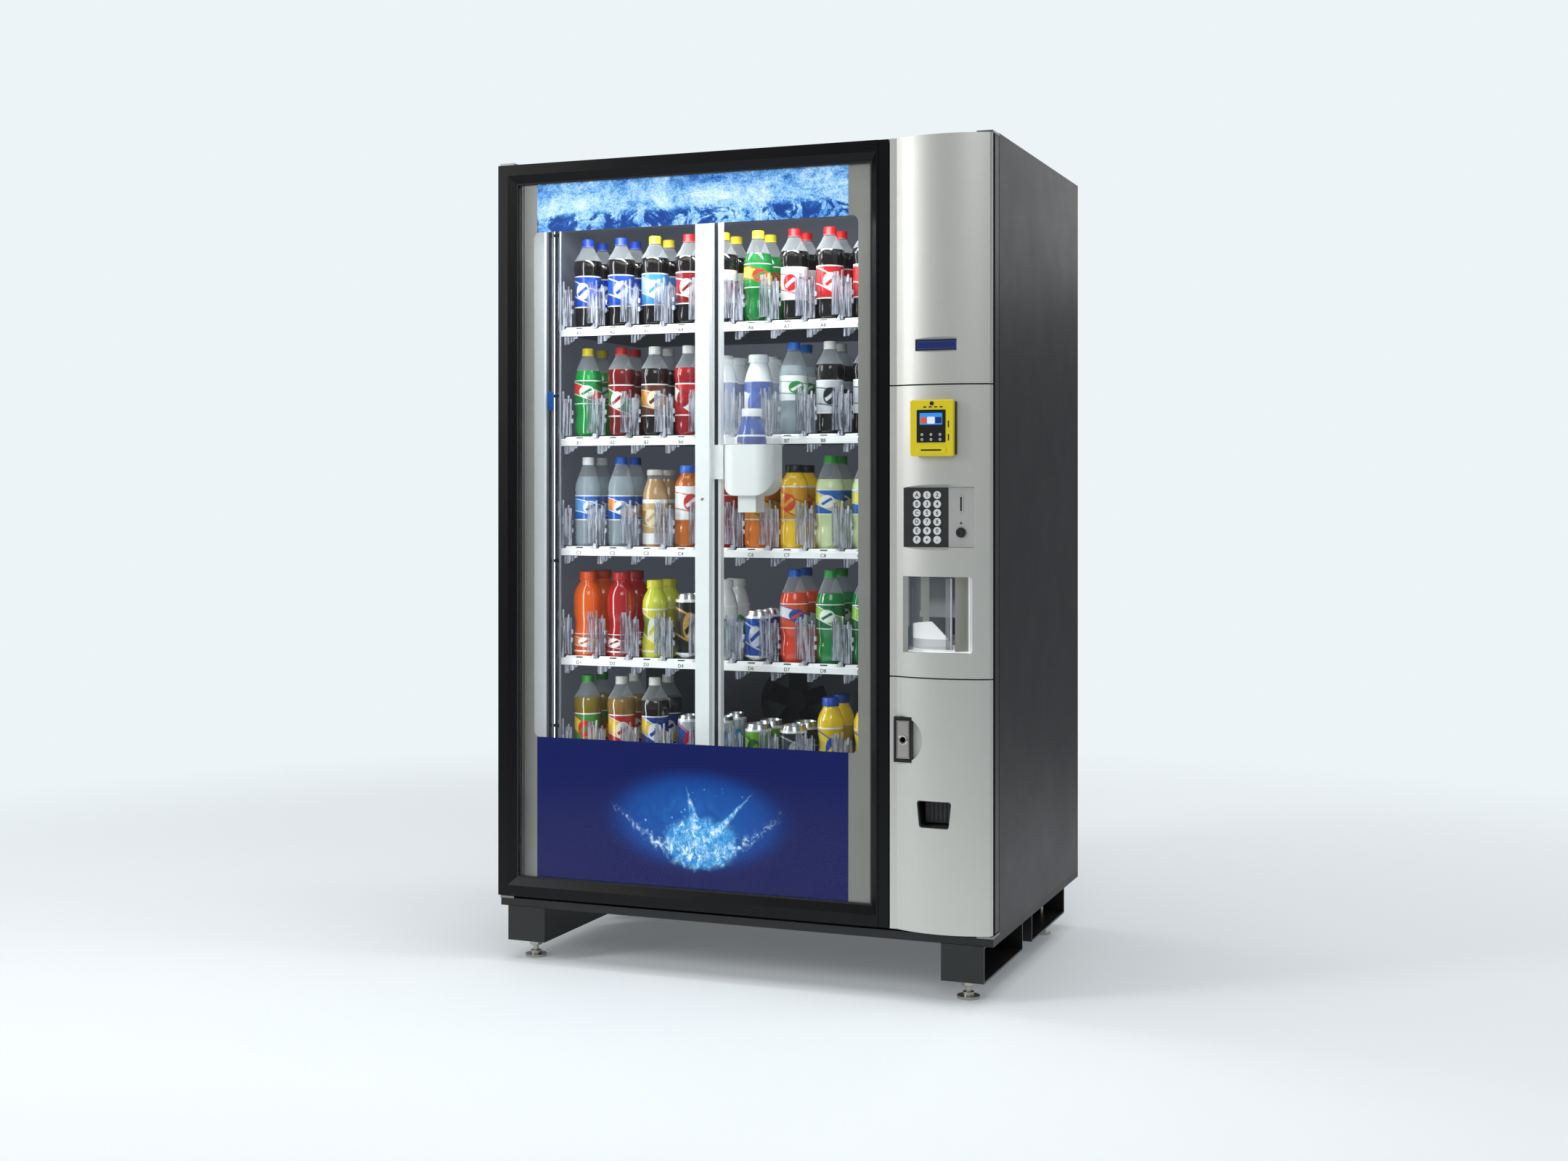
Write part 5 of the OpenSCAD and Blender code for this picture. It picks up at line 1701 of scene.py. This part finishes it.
RANGE = {
    "A": """
    2 COLA 0d0605 1b3fae 1747b4 1a57c9 eef2fa 0.18 0
    1 COLA 0d0605 d9c42e 3f8fd8 9fc8ee f2f5fa 0.18 0
    1 COLA 0d0605 b5161c 7c1018 a51a24 efe6e2 0.1 0
    1 COLA 0d0605 d9c42e f0efec 8a1a20 2a1612 0.08 0
    1 ROUND 0f7a34 e2cf2c 0f8a3a e6d435 d8302a 0.18 0.12
    1 COLA 0d0605 c6161b e9e9ea d9dadd c01a22 0.1 0
    2 COLA 0d0605 c6161b c2161d cf2229 f2eeee 0.24 0""",
    "B": """
    1 ROUND 148a3a e2cf2c 12803a d9362c eef1ea 0.22 0.12
    1 COLA 6d0e12 c02026 8c1218 2f8a3c f0e9e4 0.2 0
    1 COLA 0d0605 eceae6 5a2c16 c98a3a e9dcc0 0.1 0
    1 COLA 96121a eceae6 b3161f e6e2e0 8c0f16 0.3 0
    2 MILK e9ebef eef0f2 1d3f9a f1f3f7 2450b4 0.1 0
    1 ROUND water 1f6fd2 e8ecee dfe5e8 2a8c3e 0.06 0
    2 COLA 0d0605 eceae6 d5d8dc b9bdc4 1e1e22 0.06 0""",
    "C": """
    1 WATER water eef0f2 2461b8 5d9be0 f0f4fa 0.14 0
    1 WATER water 1f5fc0 1d55ae e58a2e f0f4fa 0.2 0
    1 COFFEE b08d5e c9c6be c8a870 a98a52 e6d9b8 0.08 0.05
    1 JUICE b55f1c 1f62c4 eef0f0 dfe2e4 c22a2a 0.1 0.08
    1 COLA a51518 c6161b b3161f e6e2e0 8c0f16 0.2 0.05
    1 JUICE d9751c e08b22 e08a24 f0c23a 3a8a3a 0.2 0.12
    1 JUICE e8bd24 1b1b1d e9a52a f0d64a d8482a 0.2 0.14
    2 ROUND c9d8a6 3fae46 2b66b8 e8d845 f0f4ea 0.22 0.1""",
    "D": """
    1 SPORTS d85a14 d8501a c9521a e88a3a f2efe8 0.12 0.12
    1 SPORTS a5161a b51c20 8c1218 c8403a f2efe8 0.12 0.1
    1 KID c8cf3e d8d23a d8cf3a 7a9a2a eef0d8 0.2 0.08
    1 TALL_CAN 0d0605 0d0605 1b1816 3a3028 c9a050 0.14 0
    1 MILK e8ece8 e9ebe9 e9ece8 dfe6de 3f9a4a 0.2 0
    1 CAN 0d0605 0d0605 1c4fae 2a62c4 dfe6f2 0.16 0
    1 ROUND d8401c 1f5fc0 e0511f e8ecf4 2450a8 0.2 0.12
    2 ROUND 127a38 2a9a44 0f6a34 8ac23a eaf2e6 0.26 0.1""",
    "E": """
    1 COLA 7c6a1a 3f9a3a 3f8a34 e8c83a c82a2a 0.24 0.06
    1 COLA 8c6a32 eceae6 b8281f e8c23a f2eee0 0.2 0.05
    1 COLA 1a120e eceae6 1f3f8a e8c23a e9edf4 0.26 0
    1 SLIM 0d0605 0d0605 b9bec6 2450a8 c8202f 0.2 0
    1 SLIM 0d0605 0d0605 b9bec6 2450a8 3f9ad8 0.2 0
    1 CAN 0d0605 0d0605 7ab83a a5d45a 2a6a2a 0.2 0
    1 CAN 0d0605 0d0605 22252a 4a4f58 c9ccd2 0.16 0
    2 KID e8c41f 1f4fb8 e8c41f f0d84a 1f4fb8 0.2 0.1""",
}


@dataclass
class Stock:
    """The bottles and cans, two deep in each lane."""

    seed: int = 41
    bottle_sides: int = 30
    cap_sides: int = 56

    def build(self) -> None:
        """Fills every lane with its drink, and hides the CAD stock once the first lane is made."""
        draw = random.Random(self.seed)
        for letter, top in zip(SHELF_LETTERS, SHELF_TOPS):
            for lane, kind in enumerate(lane_drinks(RANGE[letter])):
                sketch = Sketch(f"drinks_{letter.lower()}{lane + 1}")
                for row in ROW_DEPTHS:
                    x = lane_x(lane + 0.5) + draw.uniform(-1.2, 1.2)
                    self.bottle(sketch, kind, (x, row, top + 0.6), 105 + draw.uniform(-24, 24))
                piece = sketch.finish("root", "bottle_mixed", kind.finishes(), crease=40)
                if letter == "A" and lane == 0:
                    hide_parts("stock")

    def bottle(self, sketch: Sketch, kind: Drink, foot: Point3, spin: float) -> None:
        """Adds one bottle or can.

        Args:
            sketch: where it is drawn.
            kind: the drink.
            foot: x, d and z of the middle of its base.
            spin: turn about its axis in degrees.
        """
        form = kind.shape.value
        low, high = form.sleeve

        def part(height: float) -> int:
            """Returns the material's index at a height."""
            if low <= height <= high:
                return 2
            return 0 if height < form.fill else 1

        def petals(angle: float, height: float) -> float:
            """Returns the factor on the radius for the feet of the base."""
            return 1 - form.petals * max(0.0, 1 - height / 22) * (1 + math.cos(5 * angle))

        sketch.turned(foot, form.profile, self.bottle_sides, part, spin=spin, sleeve=form.sleeve,
                      lobes=petals if form.petals else None)
        if form.cap is None:
            return
        radius, under, over = form.cap

        def ribs(angle: float, height: float) -> float:
            """Returns the factor on the radius for the cap's ribs."""
            return 1 + 0.014 * math.cos(self.cap_sides / 2 * angle) if height < over - under - 1.5 else 1.0

        tall = over - under
        profile = ((radius * 0.86, 0), (radius * 1.03, 0), (radius * 1.03, 2.2), (radius, 2.8),
                   (radius, tall - 2), (radius - 1.4, tall), (0, tall))
        sketch.turned((foot[0], foot[1], foot[2] + under), profile, self.cap_sides, 3, spin=spin, lobes=ribs)


# ---- lift and cup

@dataclass
class CupLift:
    """The travelling column and its cup with one bottle."""

    bottle_foot: Point3 = (-6.0, 130.0, 1094.0)
    belt_start: float = 42.0
    belt_pitch: float = 7.0

    def build(self) -> None:
        """Dresses the column and the cup, and adds their fittings."""
        dress("gantry_column", COLUMN)
        dress("cup_carriage", CUP_WHITE)
        dress("cup_shield", SHIELD_CLEAR)
        column = Extent.of("gantry_column")
        belt = Sketch("lift_belt")
        left, right, front = column.x1 - 14, column.x1 - 6, column.d0 + 18
        belt.block(left, right, front, front + 1.6, column.z0 + 40, column.z1 - 40)
        for k in range(int((column.z1 - column.z0 - 2 * self.belt_start) / self.belt_pitch)):
            z = column.z0 + self.belt_start + self.belt_pitch * k
            belt.block(left, right, front - 1.1, front + 0.1, z, z + 3)
        belt.finish("gantry", "column_white", [TRIM_DARK])
        screws = Sketch("column_screws")
        for z in (column.z0 + 22, column.mid_z, column.z1 - 22):
            screws.turned((column.x0 + 17, column.d0, z), SCREW_HEAD, 20, facing=Facing.FRONT)
        screws.finish("gantry", "column_white", [ZINC])
        inside = Drink(Shape.MILK, "1f48a6", "eef0f2", "1d3f9a", "f1f3f7", "d9b23a", wave=0.12)
        sketch = Sketch("cup_bottle")
        Stock().bottle(sketch, inside, self.bottle_foot, 112)
        sketch.finish("cup", "bottle_mixed", inside.finishes(), crease=40)


# ---- glass door

@dataclass
class GlassDoor:
    """The glass door: bars, panes, printed border and pictures."""

    glass: tuple[float, float, float, float] = (-554.0, 325.0, 193.0, 1820.0)
    window: tuple[float, float, float, float] = (-512.0, 291.0, 523.0, 1705.0)
    picture_x: Point2 = (-503.0, 268.0)
    header_low: float = 1704.0
    lower_high: float = 524.0
    corner: float = 16.0
    bead_depths: Point2 = (11.5, 13.9)
    picture_depths: Point2 = (18.1, 18.5)
    border_depths: Point2 = (18.6, 19.9)

    def build(self) -> None:
        """Dresses the bars and panes, and makes the border and both pictures."""
        frame_box = Extent.of("door_frame")
        bars = MitredFinish("door_bar_black", "08080a", 0.32, skin=Skin.POWDER, fineness=700.0, relief=0.025,
                            specular=0.22, drift=0.1, wear=0.2, wear_colour="4c4c50", outer=frame_box)
        dress("door_frame", bars)
        dress("door_gasket", GASKET)
        dress("glass_panes", PANE)
        self.border()
        self.picture("header_picture", self.header_low, self.glass[3] - 1, HEADER_ART)
        self.picture("lower_picture", self.glass[2] + 1, self.lower_high, LOWER_ART)
        self.beads()

    def border(self) -> None:
        """Makes the printed border, with rounded corners to its window."""
        x0, x1, z0, z1 = self.glass
        w0, w1, v0, v1 = self.window
        inner = rounded(w0, w1, v0, v1, self.corner, 8)
        outer = rounded(x0, x1, z0, z1, 0.5, 8)
        border = Sketch("glass_border").rim(outer, inner, Plane.FRONT, *self.border_depths)
        piece = border.finish("glass_door", "print_grey", [BORDER])
        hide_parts("glass_graphics")

    def picture(self, name: str, low: float, high: float, art: Finish) -> None:
        """Makes one picture sheet.

        Args:
            name: of the piece.
            low: its lower edge.
            high: its upper edge.
            art: its finish.
        """
        sheet = Sketch(name)
        sheet.tile((*self.picture_x, low, high, 1.0), *self.picture_depths, steps=3)
        sheet.finish("glass_door", "print_grey", [art])

    def beads(self) -> None:
        """Makes the glazing bead inside the bars and the narrow clip strips at the pane's edge."""
        x0, x1, z0, z1 = self.glass
        outer = [(x1 + 2, z0 - 2), (x1 + 2, z1 + 2), (x0 - 2, z1 + 2), (x0 - 2, z0 - 2)]
        inner = [(x1 - 4, z0 + 4), (x1 - 4, z1 - 4), (x0 + 4, z1 - 4), (x0 + 4, z0 + 4)]
        bead = Sketch("glazing_bead").rim(outer, inner, Plane.FRONT, *self.bead_depths)
        bead.finish("glass_door", "gasket_rubber", [GASKET], bevel=0.6)
        strip = Sketch("pane_edge_strip")
        for x in (x0 + 9, x0 + 15):
            strip.block(x, x + 1.6, 18.0, self.picture_depths[1], z0 + 3, z1 - 3)
        strip.finish("glass_door", "print_grey", [TRIM_DARK])


# ---- service door

@dataclass
class ServiceDoor:
    """The covers, the display and the parts behind them."""

    def build(self) -> None:
        """Dresses the covers, the display and the inner parts."""
        for node in ("upper_cover", "middle_cover", "lower_cover"):
            dress(node, COVER)
        dress("door_pan", PAN_BLACK)
        dress("coin_changer", CHANGER)
        box = Extent.of("display_window")
        dress("display_window", ScreenFinish("display_glass", "0a0f2c", 0.12, coat=0.8, relief=0.005,
                                             drift=0.04, glow=0.12, box=box))
        outer = rounded(box.x0 - 1.6, box.x1 + 1.6, box.z0 - 1.6, box.z1 + 1.6, 2.2, 4)
        inner = rounded(box.x0 + 0.8, box.x1 - 0.8, box.z0 + 0.8, box.z1 - 0.8, 1.2, 4)
        bezel = Sketch("display_bezel")
        bezel.rim(outer, inner, Plane.FRONT, box.d0 - 1.0, box.d0 + 9, inner_high=box.d0 + 1)
        bezel.finish("service_door", "display_dark", [TRIM_DARK], bevel=0.3)


@dataclass
class CardReader:
    """The yellow reader: shell, black face, screen, key icons, lens, lamps and card slot."""

    face_inset: float = 15.0

    def build(self) -> None:
        """Makes the reader in place of its CAD node."""
        e = Extent.of("card_reader")
        deep = e.d0 + 17
        back = Sketch("reader_back")
        back.tile((e.x0 + 3, e.x1, e.z0 + 2, e.z1 - 2, 4), deep - 2, e.d1, ease=1.2)
        piece = back.finish("service_door", "reader_yellow", [READER_BLACK])
        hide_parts("card_reader")
        shell = Sketch("reader_shell")
        shell.tile((e.x0, e.x1 - 3, e.z0, e.z1, 4.5), e.d0 + 1.5, deep, ease=1.4, steps=8)
        shell.tile((e.x0 + 16, e.x1 - 18, e.z0 + 5, e.z0 + 21, 5), e.d0, e.d0 + 3, ease=1.2, steps=5)
        shell.tile((e.x0 - 0.8, e.x0 + 2, e.mid_z - 26, e.mid_z + 20, 1.2), e.d0 + 5, deep - 3, steps=3)
        shell.finish("service_door", "reader_yellow", [READER_YELLOW], bevel=0.5)
        self.face(e)

    def face(self, e: Extent) -> None:
        """Makes the black face and what is on it.

        Args:
            e: the reader's box.
        """
        x0, x1 = e.x0 + self.face_inset, e.x1 - self.face_inset - 5
        z0, z1 = e.z0 + 29, e.z1 - 21
        d = e.d0
        face = Sketch("reader_face")
        face.tile((x0, x1, z0, z1, 2), d + 0.4, d + 4, ease=0.5)
        slot_z = e.z0 + 13
        face.tile((x0 + 9, x1 - 9, slot_z - 1.6, slot_z + 1.6, 1.5), d - 0.3, d + 2, steps=3)
        lens = ((4.4, 0), (4.4, 1.2), (3.4, 1.8), (2.8, 1.1), (0, 1.0))
        face.turned((e.mid_x - 1, d + 1.6, e.z1 - 7.5), lens, 28, facing=Facing.FRONT)
        for k in range(4):
            x = e.mid_x - 20 + 12 * k
            face.tile((x, x + 7, e.z1 - 16.5, e.z1 - 14, 1), d + 0.9, d + 2, steps=2)
        for z in (e.mid_z + 8, e.mid_z - 20):
            face.tile((e.x1 - 15, e.x1 - 12.5, z - 7, z + 7, 1), d + 0.9, d + 2, steps=2)
        face.finish("service_door", "reader_yellow", [READER_BLACK])
        lit = Sketch("reader_screen")
        middle = z0 + (z1 - z0) * 0.5
        lit.tile((x0 + 7, x1 - 7, middle + 3, z1 - 7, 1.5), d + 0.1, d + 0.5, 0, steps=3)
        wide = (x1 - x0 - 14) / 3
        for k, slot in enumerate((2, 0, 3)):
            a = x0 + 7 + k * wide
            if slot:
                lit.tile((a + 1.5, a + wide - 1.5, middle + 6, middle + 19, 1),
                         d - 0.2, d + 0.2, slot, steps=2)
        lit.tile((x0 + 7 + wide, x0 + 7 + 2 * wide, middle + 5, middle + 20, 2), d - 0.3, d + 0.2, 1, steps=3)
        for row in range(2):
            for k in range(3):
                x, z = x0 + 12 + k * (x1 - x0 - 24) / 2, z0 + 17 - 10.5 * row
                lit.rim(rounded(x - 2.6, x + 2.6, z - 2.6, z + 2.6, 2.5, 4),
                        rounded(x - 1.6, x + 1.6, z - 1.6, z + 1.6, 1.5, 4), Plane.FRONT, d + 0.1, d + 0.5, 1)
        lit.finish("service_door", "reader_yellow", [READER_BLUE, READER_ICON, READER_RED, READER_DARK])


KEY_SIGNS = {"key_star": "*", "key_dash": "-"}


@dataclass
class Keypad:
    """The charcoal keypad and its white keys, each with its character."""

    sign_size: float = 11.5

    def build(self) -> None:
        """Dresses the plate and keys, and letters each key on its own body."""
        dress("keypad_plate", KEYPAD_DARK)
        keys = sorted(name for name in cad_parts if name.startswith("key_"))
        for node in keys:
            dress(node, KEY_WHITE)
            e = Extent.of(node)
            sign = KEY_SIGNS.get(node, node[-1].upper())
            lift = -2.4 if sign == "*" else 0.0
            sketch = Sketch("sign_" + node[4:])
            sketch.letters(sign, e.mid_x, e.d0 + 0.02, e.mid_z + lift, self.sign_size, thick=0.12, bold=0.28)
            sketch.finish(node, "key_white", [KEY_INK], recalculate=False)


@dataclass
class CoinFittings:
    """The coin plate's slot lip, and the return knob's ring."""

    slot_x: float = 532.0
    slot_z: float = 1071.0

    def build(self) -> None:
        """Dresses the plate and knob and adds their fittings."""
        dress("coin_plate", PLATE_SILVER)
        dress("coin_knob", KNOB)
        plate = Extent.of("coin_plate")
        x, z, d = self.slot_x, self.slot_z, plate.d0
        lip = Sketch("coin_slot_lip")
        lip.rim(rounded(x - 5.5, x + 5.5, z - 19, z + 19, 3, 5),
                rounded(x - 1.9, x + 1.9, z - 15.5, z + 15.5, 1.2, 5), Plane.FRONT, d - 0.9, d + 0.6,
                inner_high=d + 0.6)
        lip.finish("service_door", "plate_silver", [PLATE_SILVER], bevel=0.3)
        # A dark fill in the slot: painted shade of the hole.
        dark = Sketch("coin_slot_throat")
        dark.tile((x - 1.8, x + 1.8, z - 15.4, z + 15.4, 1.2), d - 0.25, d + 0.3, steps=4)
        dark.finish("service_door", "plate_silver", [SLOT_DARK])
        knob = Extent.of("coin_knob")
        ring = Sketch("knob_ring")
        face = ((0, 0.0), (10.2, 0.0), (9.9, 0.8), (7.6, 1.0), (7.0, 0.3), (3.0, 0.3), (2.4, 0.9), (0, 1.0))
        ring.turned((knob.mid_x, knob.d0 + 0.1, knob.mid_z), face, 40, facing=Facing.FRONT)
        ring.finish("coin_release", "knob_nickel", [KNOB])
        arrow = Sketch("knob_arrow")
        arrow.prism([(x - 3, z - 43), (x + 3, z - 43), (x, z - 37)], Plane.FRONT, d - 0.3, d + 0.1)
        arrow.finish("service_door", "plate_silver", [KEY_INK])


@dataclass
class DeliveryPort:
    """The port's lining, its turning clear shield and the white bowl."""

    centre_x: float = 470.0
    centre_d: float = 88.0
    radius: float = 82.0

    def build(self) -> None:
        """Dresses the bowl and shield, and adds painted light and shade along the shield's edges, its hoop
        and the lining.
        """
        dress("delivery_bucket", BUCKET)
        dress("port_drum", DRUM_CLEAR)
        drum = Extent.of("port_drum")
        ribs = Sketch("drum_edge_shading_and_hoop")
        # Strips along the shield's edges: a paler clear band of painted light, a bright line of painted
        # highlight and a dark line of painted shade.
        for degrees, wide, slot in ((19.6, 3.8, 0), (24.7, 0.9, 1), (26.2, 0.5, 2), (-56.0, 1.2, 0)):
            a, b = math.radians(degrees - wide), math.radians(degrees + wide)
            near, far = self.radius - 4.3, self.radius - 6.6
            outline = [self.around(a, near), self.around(b, near), self.around(b, far), self.around(a, far)]
            ribs.prism(outline, Plane.PLAN, drum.z0 + 4, drum.z1 - 4, slot)
        hoop = [[self.around(math.radians(6 * k), self.radius - inset) for k in range(60)]
                for inset in (4.3, 6.3)]
        ribs.rim(hoop[0], hoop[1], Plane.PLAN, drum.z0 + 6, drum.z0 + 27, 3)
        ribs.finish("port_shield", "drum_clear",
                    [ClearFinish("drum_rib_clear", "b4b9be", 0.42, 0.3, rough=0.06),
                     ClearFinish("drum_rib_bright", "eef3f6", 0.8, 0.2, rough=0.06, glow=0.15), TRIM_DARK,
                     ClearFinish("drum_hoop_clear", "9aa0a6", 0.3, 0.4, rough=0.06)])
        self.lining(drum)

    def lining(self, drum: Extent) -> None:
        """Makes the fixed wall beside the shield, the sheet and bar behind it, and a dark sheet of painted
        shade further back.

        Args:
            drum: the shield's box.
        """
        steps = [math.radians(30 + 3 * k) for k in range(18)]
        arc = [self.around(a, self.radius + 0.6) for a in steps]
        arc += [self.around(a, self.radius + 1.3) for a in reversed(steps)]
        wall = Sketch("port_side_wall").prism(arc, Plane.PLAN, drum.z0 + 1, drum.z1)
        wall.finish("service_door", "bucket_white", [PORT_BEIGE], bevel=0.3)
        back = Sketch("port_back_sheet")
        low, high = drum.z0 + 2, drum.z1 - 1
        back.block(404, 556, 178, 180, low + 62, high, 1)
        # A dark sheet behind all: painted shade where nothing stands behind the port.
        back.block(386, 556, 180.5, 182, low, high, 2)
        back.block(386, 388, 46, 82, low + 48, high, 0)
        back.block(387, 405, 171, 178, low + 62, high, 0)
        back.block(386, 405.5, 166, 171, low + 63, low + 76, 0)
        back.block(390, 405, 174, 178, low, low + 62, 0)
        back.finish("service_door", "bucket_white", [PORT_BEIGE, PORT_GREY, SLOT_DARK], bevel=0.4)

    def around(self, angle: float, radius: float) -> Point2:
        """Returns the plan point at an angle from the front towards the right."""
        return (self.centre_x + radius * math.sin(angle), self.centre_d - radius * math.cos(angle))


@dataclass
class LockSet:
    """The T-handle lock: black surround, knurled plate and key cylinder."""

    def build(self) -> None:
        """Dresses the lock and adds the cylinder's collar and the handle's raised rim."""
        dress("lock_surround", LOCK_BLACK)
        dress("lock_handle", NICKEL)
        dress("lock_barrel", NICKEL_TURNED)
        handle, barrel = Extent.of("lock_handle"), Extent.of("lock_barrel")
        rim = Sketch("handle_rim")
        rim.rim(rounded(handle.x0 + 0.6, handle.x1 - 0.6, handle.z0 + 0.6, handle.z1 - 0.6, 3, 4),
                rounded(handle.x0 + 3, handle.x1 - 3, handle.z0 + 3, handle.z1 - 3, 2, 4), Plane.FRONT,
                handle.d0 - 0.7, handle.d0 + 0.5)
        x, z = barrel.mid_x, barrel.mid_z
        rim.turned((x, handle.d0, z), ((8.2, -0.4), (11.6, -0.4), (11.2, 0.8), (9.4, 1.3), (8.2, 0.9)), 40,
                   facing=Facing.FRONT)
        rim.finish("pull_handle", "lock_nickel", [NICKEL_TURNED], bevel=0.2)
        key = Sketch("key_way")
        # A dark fill in the keyway: painted shade of the slot.
        key.tile((x - 0.9, x + 0.9, z - 4.6, z + 4.6, 0.8), barrel.d0 - 0.15, barrel.d0 + 0.4, steps=3)
        collar = ((5.4, -0.2), (6.4, -0.2), (6.2, 0.4), (5.6, 0.4))
        key.turned((x, barrel.d0, z), collar, 32, facing=Facing.FRONT)
        key.finish("key_cylinder", "lock_nickel", [SLOT_DARK])


@dataclass
class CoinReturn:
    """The coin return: black cup, its flap and the flap's ribs."""

    def build(self) -> None:
        """Dresses the cup and flap, and adds the ribs."""
        dress("return_cup", RETURN_BLACK)
        dress("return_flap", FLAP_DARK)
        flap = Extent.of("return_flap")
        ribs = Sketch("flap_ribs")
        for k in range(5):
            x = flap.x0 + 8 + k * (flap.x1 - flap.x0 - 19) / 4
            ribs.tile((x, x + 3, flap.z0 + 4, flap.z1 - 5, 1.2), flap.d0 - 1.2, flap.d0 + 0.4, steps=3)
        ribs.finish("coin_flap", "flap_dark", [RETURN_BLACK], bevel=0.3)


def main() -> None:
    """Builds every sub-assembly in order."""
    logging.basicConfig(level=logging.INFO, format="%(message)s", stream=sys.stdout)
    for assembly in (Studio(), Cabinet(), LampTrims(), Shelves(), Stock(), CupLift(), GlassDoor(),
                     ServiceDoor(), CardReader(), Keypad(), CoinFittings(), DeliveryPort(), LockSet(),
                     CoinReturn()):
        assembly.build()
        LOG.info("built %s", type(assembly).__name__)
    bpy.context.view_layer.update()


if __name__ == "__main__":
    main()
